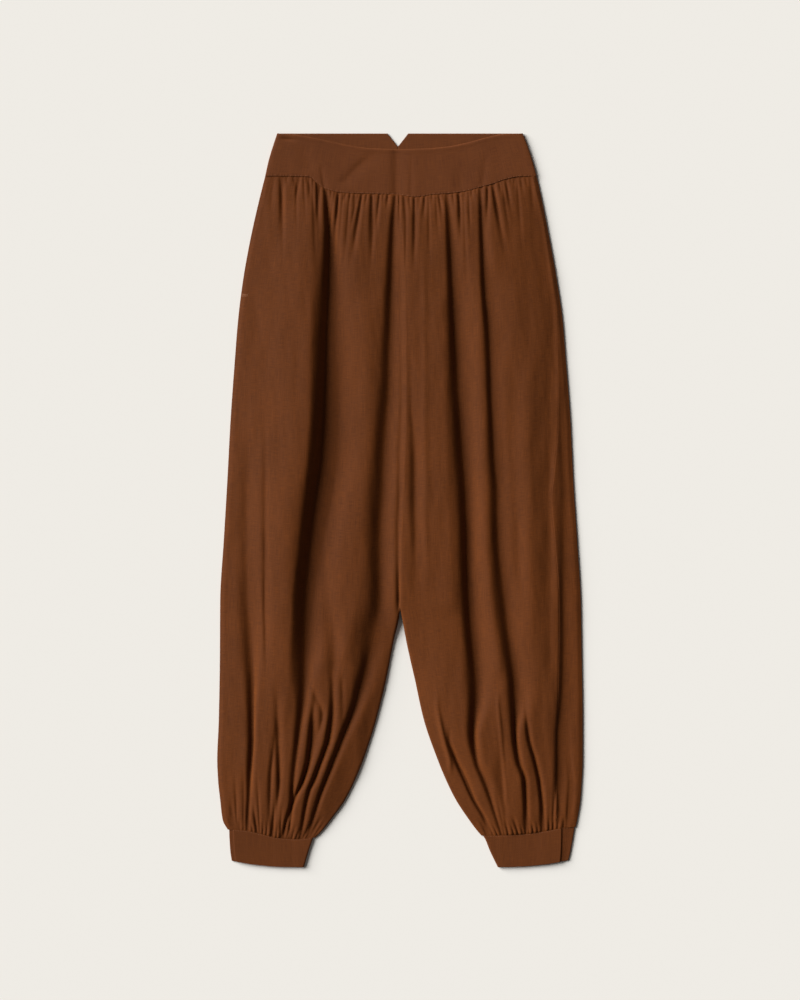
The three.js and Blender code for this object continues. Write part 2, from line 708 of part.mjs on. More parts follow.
// Back panel of one leg: flat where it rests, turned up at its edges. The right one goes on over the
// top to the side seam.
function backPanel(side) {
  const rest = clothThickness / 2;
  const rise = seamHeight - seamGap / 2 - rest;
  const inner = (y) => innerEdge(side, "back", y);
  const silhouette = (y) => outerEdge(side, y, clothThickness);
  const leftEdge = side === "left" ? silhouette : inner;
  const rightEdge = side === "left" ? inner : silhouette;
  const level = () => backWaistSeam;
  const turnShare = 0.02;
  const lastTurn = turnSteps.length - 1;
  const wrapSteps = [0.02, 0.08, 0.2, 0.42, 0.7, 1];

  const rows = panelRows("back").map(({ down, count }) => {
    const start = placeOnLeg(side, level, leftEdge, rightEdge, down, 0);
    const end = placeOnLeg(side, level, leftEdge, rightEdge, down, 1);
    const parted = partedAt(side === "left" ? end.y : start.y);
    const startRise = side === "left" ? rise : rise * parted;
    const endRise = side === "left" ? rise * parted : rise;
    const width = end.x - start.x;
    const turn = turnRadius / width;
    const points = [];
    const add = (u, across, lift) => {
      const { x, y } = placeOnLeg(side, level, leftEdge, rightEdge, down, across);
      points.push({ u, x, y, z: rest + lift(x, y) });
    };
    turnSteps.forEach((step, i) => {
      add(turnShare * i / lastTurn, turn * step.inwards, () => startRise * step.rise);
    });
    for (let i = 1; i < count; i += 1) {
      const f = i / count;
      const u = THREE.MathUtils.lerp(turnShare, 1 - turnShare, f);
      add(u, THREE.MathUtils.lerp(turn, 1 - turn, f), (x, y) => (
        total(gathersOfBack[side].waist, x, backWaistSeam - y)
        + total(gathersOfBack[side].cuff, x, y - cuffSeamAt[side](x))
      ));
    }
    [...turnSteps].reverse().forEach((step, i) => {
      const u = 1 - turnShare * (lastTurn - i) / lastTurn;
      add(u, 1 - turn * step.inwards, () => endRise * step.rise);
    });
    if (side === "right") {
      wrapSteps.forEach((step) => {
        const wrapped = (y) => silhouette(y) - (wrapAt(y) - seamGap - rest) * step;
        const { x, y } = placeOnLeg(side, waistSeamAt, wrapped, wrapped, down, 0);
        points.push({ u: 1 + step, x, y, z: frontHeight(side, x, y) });
      });
    }
    const atInner = innerGap(side === "left" ? end.y : start.y);
    return side === "left"
      ? { points, startGap: alongZ, endGap: atInner }
      : { points, startGap: atInner, endGap: alongX };
  });
  return clothWall(rows, clothThickness);
}

// Front waistband, from one side to the other
function frontBand() {
  const rest = seamHeight + seamGap / 2;
  const counts = [90, 50, 38, 34, 34];
  const rows = counts.map((count, r) => {
    const up = r / (counts.length - 1);
    const guess = THREE.MathUtils.lerp(backWaistSeam, waistTop, up);
    const width = outerEdge("right", guess, bandThickness) - outerEdge("left", guess, bandThickness);
    const points = spread(width, count).map((distance) => {
      const u = distance / width;
      let x = 0;
      let y = guess;
      for (let pass = 0; pass < 6; pass += 1) {
        const left = outerEdge("left", y, bandThickness);
        const right = outerEdge("right", y, bandThickness);
        x = THREE.MathUtils.lerp(left, right, u);
        y = THREE.MathUtils.lerp(waistSeamAt(x) + seamGap / 2, waistTopAt(x), up);
      }
      const edge = Math.min(distance, width - distance);
      const body = bandHeight + total(creases, x, y);
      return { u, x, y, z: rest + (body - rest) * roll(edge, frontRollRadius) };
    });
    return { points, startGap: alongZ, endGap: alongZ };
  });
  return clothWall(rows, bandThickness);
}

// One half of the back waistband. Its top runs straight to the notch at the centre seam.
function backBand(side) {
  const sign = side === "left" ? -1 : 1;
  const rest = bandThickness / 2;
  const rise = seamHeight - 2 * seamGap - rest;
  const bands = 4;
  const centre = notch.x + sign * seamGap / 2;
  const topOf = (x) => {
    const inNotch = THREE.MathUtils.clamp(1 - Math.abs(x - notch.x) / notch.halfWidth, 0, 1);
    return waistTop - notch.depth * inNotch;
  };
  const rows = Array.from({ length: bands + 1 }, (_, r) => {
    const up = 1 - r / bands;
    const outerX = (y) => outerEdge(side, y, bandThickness);
    const height = (x) => THREE.MathUtils.lerp(backWaistSeam + seamGap / 2, topOf(x), up);
    const outerY = height(outerX(waistTop));
    const points = turnSteps.map((step) => (
      { x: outerX(outerY) - sign * turnRadius * step.inwards, y: outerY, z: rest + rise * step.rise }
    ));
    const flatStart = points[points.length - 1].x;
    const corner = notch.x + sign * notch.halfWidth;
    const toCorner = [1, 2, 3, 4, 5, 6].map((i) => THREE.MathUtils.lerp(flatStart, corner, i / 6));
    for (const x of [...toCorner, (corner + centre) / 2, centre]) {
      points.push({ x, y: height(x), z: rest });
    }
    points.forEach((point, i) => {
      point.u = i / (points.length - 1);
    });
    return { points, startGap: alongZ, endGap: alongX };
  });
  return clothWall(rows, bandThickness);
}

// Cuff: one strip that starts at the lap on the front, goes round the inner side and under, comes up
// round the outer side and ends under the lap
function cuff(side) {
  const sign = side === "left" ? -1 : 1;
  const { hem, sides, lap } = cuffs[side];
  const hemAt = curveOf(hem, "x", "y");
  const outer = curveOf(sides, "y", "outer");
  const inner = curveOf(sides, "y", "inner");
  const half = cuffThickness / 2;
  const backLevel = half;
  const underLevel = backLevel + cuffThickness + cuffGaps.underlap;
  const lapLevel = underLevel + cuffThickness + cuffGaps.lap;
  const frontLevel = backLevel + cuffThickness + cuffGaps.front;
  const innerRadius = (frontLevel - backLevel) / 2;
  const outerRadius = (underLevel - backLevel) / 2;
  const bands = 3;

  const rows = Array.from({ length: bands + 1 }, (_, r) => {
    const down = r / bands;
    const lapInset = THREE.MathUtils.lerp(lap.top, lap.bottom, down);
    const points = [];
    // A place part of the way between an inset from the outer side and an inset from the inner side
    const add = (outerInset, innerInset, part, z) => {
      let x = 0;
      let y = THREE.MathUtils.lerp(cuffTop, cuffBottom, down);
      for (let pass = 0; pass < 8; pass += 1) {
        const from = outer(y) - sign * (half + outerInset);
        const to = inner(y) + sign * (half + innerInset);
        x = THREE.MathUtils.lerp(from, to, part);
        y = THREE.MathUtils.lerp(cuffSeamAt[side](x) - seamGap / 2, hemAt(x), down);
      }
      points.push({ x, y, z });
    };
    const frontSteps = 20;
    for (let i = 0; i <= frontSteps; i += 1) {
      const part = i / frontSteps;
      const drop = THREE.MathUtils.smoothstep(part, 0.14, 0.4);
      add(lapInset, innerRadius, part, THREE.MathUtils.lerp(lapLevel, frontLevel, drop));
    }
    for (let degrees = 30; degrees <= 180; degrees += 30) {
      const angle = THREE.MathUtils.degToRad(degrees);
      add(0, innerRadius * (1 - Math.sin(angle)), 1, backLevel + innerRadius * (1 + Math.cos(angle)));
    }
    const backSteps = 18;
    for (let i = 1; i <= backSteps; i += 1) {
      add(outerRadius, innerRadius, 1 - i / backSteps, backLevel);
    }
    for (let degrees = 45; degrees <= 180; degrees += 45) {
      const angle = THREE.MathUtils.degToRad(degrees);
      add(outerRadius * (1 - Math.sin(angle)), 0, 0, backLevel + outerRadius * (1 - Math.cos(angle)));
    }
    const underSteps = 3;
    for (let i = 1; i <= underSteps; i += 1) {
      add(THREE.MathUtils.lerp(outerRadius, lapInset + underlap, i / underSteps), 0, 0, underLevel);
    }
    points.forEach((point, i) => {
      point.u = i / (points.length - 1);
    });
    return { points, startGap: alongX, endGap: alongX };
  });
  return clothWall(rows, cuffThickness);
}

// Pocket bag: a flat doubled cloth on the back panel, just inside the side seam
function pocketBag(side) {
  const sign = side === "left" ? -1 : 1;
  const level = clothThickness + seamGap + bagThickness / 2;
  const reachAt = curveOf(pocketReach, "below", "reach");
  const rows = pocketReach.map(({ below }) => {
    const y = pocketTop - below;
    const steps = 4;
    const points = Array.from({ length: steps + 1 }, (_, i) => ({
      u: i / steps,
      x: outerAt[side](y) - sign * (pocketInset + reachAt(below) * i / steps),
      y,
      z: level,
    }));
    return { points, startGap: alongX, endGap: alongX };
  });
  return clothWall(rows, bagThickness);
}

// The garment, a named mesh for each sewn piece
const trousers = new THREE.Group();

function addPiece(name, geometry, material) {
  const piece = new THREE.Mesh(geometry, new THREE.MeshStandardMaterial(material));
  piece.name = name;
  trousers.add(piece);
}

for (const side of ["left", "right"]) {
  addPiece(`back_${side}`, backPanel(side), clothMaterial);
  addPiece(`pocket_${side}`, pocketBag(side), clothMaterial);
  addPiece(`front_${side}`, frontPanel(side), clothMaterial);
  addPiece(`cuff_${side}`, cuff(side), bandMaterial);
  addPiece(`waistband_back_${side}`, backBand(side), bandMaterial);
}
addPiece("waistband_front", frontBand(), bandMaterial);

export default trousers;
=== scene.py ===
import math
import time

import bpy
import numpy as np
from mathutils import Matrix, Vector


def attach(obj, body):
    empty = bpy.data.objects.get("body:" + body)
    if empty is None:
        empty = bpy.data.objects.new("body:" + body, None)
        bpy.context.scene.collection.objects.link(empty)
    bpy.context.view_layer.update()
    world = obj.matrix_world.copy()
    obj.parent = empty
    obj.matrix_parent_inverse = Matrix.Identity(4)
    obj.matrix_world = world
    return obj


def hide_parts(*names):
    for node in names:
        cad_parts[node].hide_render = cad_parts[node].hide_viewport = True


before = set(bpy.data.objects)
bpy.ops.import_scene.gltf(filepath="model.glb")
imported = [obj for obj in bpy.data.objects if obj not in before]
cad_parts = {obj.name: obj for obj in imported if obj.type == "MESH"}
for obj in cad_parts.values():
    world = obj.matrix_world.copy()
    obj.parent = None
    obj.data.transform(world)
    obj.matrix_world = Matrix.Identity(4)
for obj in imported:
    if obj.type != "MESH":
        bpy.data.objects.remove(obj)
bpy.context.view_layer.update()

startTime = time.time()
mm = 0.001
coarser = 1  # larger steps while working

# Baggy pants laid flat, front up. Tables are in millimetres and in the frame's own axes: x across, y from
# the hems to the waist, z up from the floor. Left and right are as the camera sees them.

outline = {
    "y": [514, 496, 476, 454, 420, 364, 308, 252, 196, 112, 28, -56, -140, -224, -308, -364, -392, -420,
          -448, -462],
    "left": [-172, -178, -184, -189, -197.5, -210, -220, -227, -231.5, -237.5, -242, -247, -252, -252.5,
             -254, -256.2, -255, -252, -248.5, -241],
    "right": [172, 179, 185.5, 191.5, 199, 210, 220, 228, 232.5, 239, 243, 248.5, 253.5, 255, 256.2,
              256.2, 255, 253, 248.5, 245.5],
}
inseam = {
    "y": [-149.5, -168, -196, -252, -308, -364, -392, -420, -448, -462, -475],
    "left": [0, -2, -8.5, -19.5, -33.5, -51.5, -63, -77, -97, -108, -121],
    "right": [0, 3.5, 8.5, 21, 33.5, 53, 64.5, 78.5, 97, 107.5, 119],
}
centreSeam = {
    "y": [430, 350, 158, 91, -42, -149.5],
    "front": [-4, 6, 9.5, 8.5, 3, 0],
    "back": [-3, -3, -2, -2, -1, 0],
}
waistSeam = {
    "x": [-189, -150, -126, -116, -104, -86, -64, -7, 21, 48, 70, 92, 110, 129, 147, 168, 191],
    "y": [454.3, 454, 453, 444, 436.5, 431.5, 430, 428.5, 425, 428.5, 430, 433, 438, 443, 449.5, 453.5,
          454.3],
}
waistTop = {
    "x": [-172, -150, -122, -94, -67, -39, -3, 29, 66, 94, 120, 144, 172],
    "y": [513.5, 511.5, 507, 501, 495.5, 492, 491, 491.5, 494.5, 500, 507, 512, 513.5],
}
rightWrap = {  # how far the back comes over the top before the side seam
    "y": [454, 434, 408, 370, 324, 279, 238, 196, 146, 91, 38, -3, -70, -123, -263, -361, -434, -462],
    "width": [5, 5, 3.5, 4, 6, 7, 10, 12, 15.5, 20, 27, 33, 32, 31.5, 35, 38, 34, 22],
}


# A curve through a table's points that never overshoots them
def curveOf(at, values):
    at = np.asarray(at, float)
    values = np.asarray(values, float)
    order = np.argsort(at)
    at, values = at[order], values[order]
    steps = np.diff(values) / np.diff(at)
    slopes = np.empty_like(values)
    slopes[0], slopes[-1] = steps[0], steps[-1]
    before, after = steps[:-1], steps[1:]
    sameWay = before * after > 0
    slopes[1:-1] = np.where(sameWay, 2 * before * after / np.where(sameWay, before + after, 1), 0)

    def curve(where):
        held = np.clip(where, at[0], at[-1])
        i = np.clip(np.searchsorted(at, held, side="right") - 1, 0, len(at) - 2)
        length = at[i + 1] - at[i]
        f = (held - at[i]) / length
        rise = (3 - 2 * f) * f * f
        leave = f * (1 - f) * (1 - f) * length
        arrive = -f * f * (1 - f) * length
        return values[i] + (values[i + 1] - values[i]) * rise + slopes[i] * leave + slopes[i + 1] * arrive

    return curve


def lerp(a, b, f):
    return a + (b - a) * f


def smoothStep(value, start, end):
    f = np.clip((value - start) / (end - start), 0, 1)
    return f * f * (3 - 2 * f)


# A quarter turn: 0 at the edge, 1 from the radius inwards
def roll(distance, radius):
    left = 1 - np.clip(distance / radius, 0, 1)
    return np.sqrt(1 - left * left)


# A slow rise from an edge: 0 there, 1 from the reach inwards
def shoulder(distance, reach):
    return np.sin(math.pi / 2 * np.clip(distance / reach, 0, 1))


outerAt = {side: curveOf(outline["y"], outline[side]) for side in ("left", "right")}
inseamAt = {side: curveOf(inseam["y"], inseam[side]) for side in ("left", "right")}
centreAt = {layer: curveOf(centreSeam["y"], centreSeam[layer]) for layer in ("front", "back")}
waistSeamAt = curveOf(waistSeam["x"], waistSeam["y"])
waistTopAt = curveOf(waistTop["x"], waistTop["y"])
wrapAt = curveOf(rightWrap["y"], rightWrap["width"])
signOf = {"left": -1, "right": 1}

# The cloth of the legs. The front stands on the back by itself, as high as the puff says.
cloth = {
    "outside": 0.6,  # outer face from the middle of the wall
    "inside": 0.1,  # inner face from the middle of the wall
    "seamHeight": 2,  # where the front meets the back at the edges
    "floor": 3.4,  # the lowest that the front lies over the back
    "rollRadius": 3,
    "outerShoulder": 105,  # how far in from an edge the puff is full
    "innerShoulder": 70,
    "turnRadius": 2.4,
    "backGathersFrom": 6,  # how far in from its edges the back's gathers are full
    "crotch": -149.5,
    "partLength": 30,
    "backWaist": 454.3,
    "length": 915,
    "seamLevel": 3.5,  # middle of the wall where it goes into a band
    "seamReach": 30,  # how soon the puff is full from there
    "waistShare": 0.25,  # how much of the puff there is at the seam itself
    "cuffShare": 0.7,
    "rippleHeight": 0.58,
    "seamRidge": 1,  # how proud the right side seam stands
    "seamRidgeReach": 3.4,
    "wrapRidgeReach": 5,
    "wrapClose": 0.3,  # share of the wrap that has close columns
    "centreRidge": 0.28,  # how proud the centre seam stands
    "centreRidgeReach": 1.6,
    "centreRidgeFrom": (4, 40),  # below the waistband
    "partsAbove": 60,  # how far above the crotch the puff starts to part
    "partsOver": 150,
    "edgeLevel": (1, 7),  # in from the silhouette, where the front comes up to its floor
    "diveReach": (-0.5, 3.2),  # from a band, where the cloth comes out of its seam
    "diveLeast": 0.25,
    "cuffLine": -466,
    "columns": 168,
    "backColumns": {"left": 100, "right": 92},
    "rowPitch": 3.6,
    "cutWidth": 330,
    "backCutWidth": 363,  # it goes on round the side
    "closeRows": [0, 0.5, 1.2, 2.2, 3.6, 5.4, 7.6, 10.2],
}
puff = {
    "y": [454, 420, 308, 28, -252, -364, -430, -462],
    "height": [5, 9, 13, 14, 13.5, 11.5, 8.5, 7],
}

# Gathers under the front waistband: x at the seam, lean over the length, length, half width, depth
waistGathers = [
    (-183, -3, 40, 2.2, 1.4), (-178, -3, 62, 3, 1.8), (-166, 1.5, 106, 2.6, 4), (-158.5, 0, 16, 1.8, 2),
    (-149.5, 4, 18, 1.8, 2.2), (-141, -3, 36, 2.2, 3), (-131, 1, 16, 1.8, 1.8), (-127.5, 3, 40, 2.2, 3),
    (-113, -3, 80, 2.8, 3.4), (-96, -1, 34, 1.8, 2), (-86, -10, 139, 2.8, 4.6), (-75.5, -4, 18, 1.8, 2.2),
    (-69, -1, 12, 1.5, 1.4), (-63, -2, 30, 2, 2), (-53, -17, 113, 2.6, 3.6), (-46, -5, 28, 1.7, 1.8),
    (-39, -1.5, 100, 2.6, 3.6), (-28.5, -8, 75, 2.2, 3), (-23, -2, 20, 1.6, 1.6), (-16.5, -3, 26, 2, 2.6),
    (-1, 0.5, 60, 1.6, 2.2), (5.5, 2, 44, 1.9, 2), (13, 1, 22, 1.7, 1.8), (20.5, -1, 125, 2.2, 3.2),
    (28, -1, 22, 1.7, 1.8), (35, -3, 42, 2.2, 3), (45, 0, 16, 1.8, 2), (54.5, 5.5, 40, 2.4, 3),
    (60, 2, 16, 1.6, 1.6), (74, 3, 30, 1.9, 2), (82.5, 4, 84, 2.6, 4.4), (91, 1, 18, 1.7, 1.6),
    (100.5, 0, 18, 1.8, 2.2), (106, 1, 12, 1.5, 1.4), (123, -1.5, 74, 2.4, 4), (130, 19, 120, 2.8, 4),
    (139, 4, 26, 1.8, 1.8), (148.5, 8, 58, 2.4, 2.8), (155, 1, 14, 1.6, 1.6), (160.5, 0, 20, 1.9, 2),
    (169, 4, 30, 2, 1.8), (176, 3, 18, 1.7, 1.4), (183, 5, 60, 2.4, 1.6), (-162, -2, 150, 1.9, 1.1),
    (-145, 1, 96, 1.8, 1.3), (-135, 4, 74, 1.7, 1.3), (-122, 4, 130, 2, 1.6), (-117, 2, 60, 1.6, 2),
    (-91, -14, 104, 1.9, 1.8), (-80, -12, 176, 2, 1.5), (-70, -9, 120, 1.8, 1.4), (-58, -16, 70, 1.7, 1.6),
    (-34, -9, 134, 1.9, 1.4), (9, -2, 150, 1.8, 1.2), (25, -3, 92, 1.7, 1.4), (40, 2, 130, 1.9, 1.2),
    (50, 5, 74, 1.7, 1.4), (64, 6, 120, 1.8, 1.4), (88, 7, 150, 1.9, 1.5), (96, 3, 80, 1.7, 1.4),
    (111, 6, 140, 1.9, 1.5), (143, 12, 96, 1.8, 1.3), (164, 8, 120, 1.9, 1.1),
]
cuffGathers = {
    "left": [
        (-236, -3, 26, 2, 1.8), (-232, -6, 50, 2.4, 3), (-224.5, 0, 22, 1.9, 2.2),
        (-213.5, 0, 54, 2.3, 3.2), (-206, -3, 22, 1.7, 1.6), (-200, -7, 56, 2.4, 3.2),
        (-192, 1, 22, 1.8, 2.2), (-187, 3, 30, 1.8, 1.8), (-180, 5, 54, 2.4, 3.2), (-173, 1, 22, 1.8, 2),
        (-162, 3, 30, 2, 2.6), (-151, 4, 22, 1.9, 2.4), (-146, 5, 18, 1.7, 1.8), (-136, 10, 24, 1.8, 2),
        (-126, 18, 34, 2.2, 3), (-121, 16, 24, 1.9, 2.4), (-228, -3, 92, 1.9, 1.8),
        (-219, 1, 110, 1.9, 1.6), (-196, -4, 96, 1.8, 2), (-177, 2, 84, 1.8, 1.8), (-159, 9, 40, 1.7, 1.8),
        (-168, 4, 60, 1.7, 1.8)],
    "right": [
        (123, -14, 30, 2, 2.4), (131, -12, 30, 2, 2.2), (137, -9, 22, 1.7, 1.8), (152, -8, 38, 2.2, 2.8),
        (160, -6, 22, 1.7, 1.8), (166, -9, 32, 2.2, 2.8), (172, -4, 18, 1.7, 1.6), (187, -4, 24, 2, 2.4),
        (193, -1, 18, 1.7, 1.6), (209, 0, 26, 2, 2.4), (215, 1, 16, 1.7, 1.6), (221, 1, 24, 1.9, 2.4),
        (229, 2, 20, 1.8, 2), (241, 1, 22, 1.9, 1.8), (147, -14, 70, 1.8, 1.8), (181, -6, 84, 1.8, 1.8),
        (203, -3, 70, 1.8, 2), (214, 4, 100, 1.9, 1.8), (234, 4, 80, 1.8, 1.6)],
}

# Long folds, station by station from the top: x, y, reach to the left, reach to the right, depth.
# A ridge has a negative depth.
longFolds = {
    "left shin, outer valley": [
        (-214, 110, 9, 12, 0), (-213, 10, 9, 14, 3.2), (-213, -50, 9, 15, 4.5), (-212, -140, 10, 20, 6.5),
        (-209, -189, 10, 13, 8), (-206, -263, 7, 5, 10), (-206, -329, 5, 3, 11), (-210, -392, 4, 3.4, 7),
        (-212, -446, 3, 3, 3)],
    "left thigh, fine crease": [
        (-188, 120, 3, 4, 0), (-188, 10, 4, 5, 1.8), (-188, -50, 4, 5, 2.4), (-189, -140, 2.6, 8, 3.2),
        (-188, -189, 2.6, 7, 2.6), (-187, -240, 3, 5, 0)],
    "left thigh, full ridge": [
        (-126, 400, 34, 12, -2.6), (-126, 200, 52, 14, -9), (-130, 60, 54, 14, -11),
        (-142, -50, 50, 12, -10), (-152, -150, 38, 11, -7), (-158, -260, 24, 11, -3),
        (-170, -340, 12, 10, -1.6)],
    "left thigh, deep valley": [
        (-104, 436, 3, 3.4, 4.5), (-101, 400, 4, 6, 9), (-99, 370, 5, 10, 11), (-98, 300, 8, 22, 14),
        (-99.5, 220, 10, 30, 15), (-101.5, 140, 11, 34, 18), (-105, 60, 14, 34, 20),
        (-111, 10, 17, 30, 20), (-119, -50, 17, 28, 18), (-129, -140, 14, 24, 15),
        (-131, -189, 12, 20, 14), (-134, -263, 8, 9, 10), (-142, -329, 4.5, 5, 7), (-149, -392, 4, 4, 5),
        (-152, -430, 3, 3, 2.5)],
    "sharp edge of the deep valley": [
        (-97, 360, 7, 2.6, 2), (-96, 300, 8, 2.6, 3.4), (-99, 220, 9, 2.6, 4.4), (-100, 140, 9, 2.6, 5),
        (-101, 60, 9, 2.8, 4), (-104, 10, 9, 4, 2), (-108, -40, 9, 5, 0)],
    "soft dip beside the deep valley": [
        (-106, -90, 6, 8, 1.2), (-100, -140, 9, 10, 3), (-93, -189, 14, 10, 5.5), (-90, -225, 9, 7, 2.5)],
    "left thigh, inner ridge": [
        (-48, 260, 22, 12, -1.5), (-50, 100, 26, 14, -2.5), (-55, -60, 24, 12, -2.5),
        (-62, -140, 17, 12, -3), (-76, -210, 12, 10, -2)],
    "valley left of the centre": [
        (-6, 429, 2.6, 2.6, 3), (-10, 380, 4, 8, 6), (-12, 300, 6, 16, 8.5), (-14.5, 220, 8, 18, 9.5),
        (-16, 150, 10, 20, 10.5), (-22, 70, 11, 18, 11), (-24, 10, 12, 18, 11), (-27, -50, 12, 18, 11),
        (-28, -140, 11, 14, 10), (-36, -189, 15, 20, 8), (-45, -226, 8, 14, 8), (-56, -263, 6, 12, 9),
        (-63, -287, 5, 9, 8.5), (-80, -331, 4.4, 6, 8), (-101, -385, 3.6, 4.5, 7.5),
        (-113, -417, 3.2, 3.6, 6.5), (-130, -475, 2.6, 2.6, 3)],
    "soft crease above the left cuff": [
        (-176, -340, 3, 3, 1.5), (-181, -392, 3.4, 3.4, 4), (-182, -434, 3, 3, 2)],
    "inner crease above the left cuff": [
        (-171, -270, 6, 7, 0.8), (-171, -297, 4.4, 6, 2.4), (-170, -329, 4.4, 6, 5.6),
        (-169, -392, 3, 4, 5), (-172, -432, 3, 3, 2)],
    "hooked crinkle": [
        (-127, -252, 5, 6, 0.8), (-117, -275, 4, 5, 2.6), (-108, -299, 4, 4, 3.6), (-110, -315, 4, 4, 2.8),
        (-115, -330, 4, 4, 1)],
    "left calf, short crease": [
        (-81, -240, 4, 5, 0.6), (-80.5, -263, 3, 4, 1.8), (-80, -290, 3, 4, 0.8)],
    "first slant above the left cuff": [
        (-118, -262, 6, 7, 0.8), (-121, -292, 4, 5, 3.4), (-124, -329, 3.6, 8, 8.5),
        (-128, -365, 3.6, 5, 9.5), (-135.5, -392, 3.4, 3.6, 10), (-145, -413, 3.2, 3.2, 8),
        (-156, -440, 3, 3, 5), (-166, -475, 2.6, 2.6, 3)],
    "sibling of the first slant": [(-150.5, -415, 2.6, 2.6, 3.5), (-155, -475, 2.6, 2.6, 2.4)],
    "second slant above the left cuff": [
        (-95, -220, 7, 8, 0.8), (-94, -250, 5, 6, 2.6), (-94, -280, 4, 5, 5), (-99, -329, 4, 5, 9.5),
        (-112, -370, 3.8, 4, 9), (-120.5, -392, 3.4, 4, 9), (-127, -407, 3.2, 3.4, 7),
        (-140, -475, 2.6, 2.6, 3)],
    "groove left of the centre seam": [
        (1, 330, 3, 4, 0.8), (2.5, 140, 3, 4, 1.4), (0, 60, 4, 5, 2.4), (-0.5, 10, 4, 5, 3),
        (-2, -50, 4, 4, 2.6), (-2, -138, 2.6, 2.6, 4.4)],
    "soft valley right of the centre": [
        (15, 240, 4, 6, 0), (16.5, 140, 5, 8, 2.4), (20.5, 60, 6, 9, 4.4), (20.5, 10, 6, 9, 5),
        (22, -50, 6, 9, 3.6), (21, -130, 6, 8, 0)],
    "fine ridge right of the centre": [
        (33, 390, 4, 4, 0), (34, 250, 5, 5, -1), (36, -40, 5, 5, -1.2), (38, -150, 5, 5, 0)],
    "right thigh, inner ridge": [
        (58, 270, 20, 9, -1.8), (64, 60, 24, 10, -2.6), (72, -140, 22, 10, -2.6)],
    "right thigh, deep valley": [
        (67, 429, 2.8, 2.8, 3.2), (70, 380, 4, 9, 6), (73, 300, 5, 24, 9), (77, 220, 6, 27, 11),
        (83, 140, 9, 26, 12.5), (88.5, 60, 9, 22, 14), (92.5, 10, 9, 20, 15), (94, -50, 8, 18, 15),
        (97.5, -140, 8, 20, 15), (100.5, -189, 8, 22, 14.5), (107, -263, 9, 16, 13), (103, -329, 6, 5, 12),
        (108, -368, 4, 6, 7), (118, -392, 4, 8, 6), (126, -415, 3.4, 5, 4.5), (143, -470, 2.6, 2.6, 2.6)],
    "right thigh, middle ridge": [
        (110, 262, 9, 8, -1.6), (114, 60, 10, 9, -2.2), (126, -140, 12, 9, -2.2), (138, -230, 10, 8, -2)],
    "right thigh, second valley": [
        (114, 438, 2.6, 2.6, 2.8), (116.5, 342, 4, 10, 6), (118, 300, 4, 26, 8), (125, 220, 5, 28, 8.5),
        (128, 140, 5, 28, 8.5), (132, 60, 6, 26, 9.5), (136.5, 10, 8, 22, 10.5), (137.5, -50, 8, 22, 10.5),
        (147, -140, 10, 24, 11), (152, -189, 9, 20, 11), (160, -263, 7, 18, 11),
        (161.5, -329, 4.4, 3.6, 10.5), (166, -365, 4, 4.4, 8), (174.5, -392, 3.4, 4, 7.5),
        (176.5, -470, 2.6, 2.6, 3)],
    "right hip, soft valley": [
        (158, 230, 9, 9, 0), (160, 140, 9, 9, 1.2), (162, 20, 9, 9, 2), (166, -80, 9, 9, 2.4),
        (170, -120, 8, 8, 1.6)],
    "right hip, soft ridge": [
        (180, 230, 9, 9, 0), (180.5, 130, 10, 10, -1.4), (183, -120, 10, 10, -1.8), (184, -220, 9, 9, 0)],
    "valley inside the right side seam": [
        (206, 240, 9, 6, 0), (208, 140, 9, 6, 1), (209, 20, 10, 6, 1.4), (210, -97, 9, 6, 1.8),
        (209, -220, 8, 6, 1)],
    "right calf, bright fold": [
        (52, -290, 3.4, 3.4, -1.6), (60, -329, 3.6, 3, -4), (70, -365, 3.4, 3, -3)],
    "right calf, slant": [
        (69, -340, 3, 3.4, 3), (80, -367, 3, 4, 7), (91.5, -392, 3, 5, 9), (104, -420, 3, 3.6, 7),
        (119, -447, 3, 3, 5), (125, -472, 2.6, 2.6, 3)],
    "right calf, thin ridge": [(137, -287, 2.6, 2.6, -1.6), (148.5, -410, 2.6, 2.6, -1.8)],
    "right calf, broad dip": [(142, -350, 6, 5, 1.2), (145, -392, 9, 4, 3), (147, -430, 6, 4, 1.5)],
    "right calf, outer slant": [
        (175, -272, 5, 6, 0.8), (177, -300, 3.6, 4.4, 2.2), (179.5, -329, 3, 3.8, 5.2),
        (189, -365, 3, 3.4, 6), (196, -398, 3, 3.4, 6.5), (199, -434, 3, 3, 5), (199, -466, 2.6, 2.6, 3)],
    "valley outside the right side seam": [
        (224, 150, 4, 12, 0), (228, 50, 5, 12, 1.4), (230, -50, 6, 12, 2), (228, -140, 5, 12, 4),
        (230, -200, 7, 13, 5.5), (229, -263, 7, 15, 7), (222, -329, 5, 16, 8), (221, -392, 4, 12, 6),
        (222, -430, 3, 6, 3)],
    "right calf, edge fold": [
        (232, -312, 3, 3, 1.6), (233, -335, 3, 4, 3), (238, -375, 3, 3, 5), (240, -398, 3, 3, 6),
        (239, -430, 3, 3, 5), (235, -458, 2.6, 2.6, 3)],
}


creaseForm = {
    "foldBluntness": 1.9,
    "foldFade": 26,  # mm past each end
    "gatherHeld": 0.2,  # share of a gather's length that keeps its full depth
    "gatherWidth": 0.86,
    "gatherWidening": 0.6,
    "gatherLip": 0.35,
    "hiddenWidth": 0.2,  # share of the pitch
    "rippleLongest": 62,
    "rippleTurn": 0.16,  # radians off the leg's length
    "rippleDrift": (150, 420),
    "rippleMiddle": 40,
    "rippleGrowth": 0.7,  # longer waves are higher
}


# A trough, or a ridge where the depth is negative, steeper on the side with the shorter reach
def foldShape(offset, left, right, depth):
    t = np.abs(offset) / np.where(offset < 0, left, right)
    return -depth * np.exp(-t ** creaseForm["foldBluntness"])


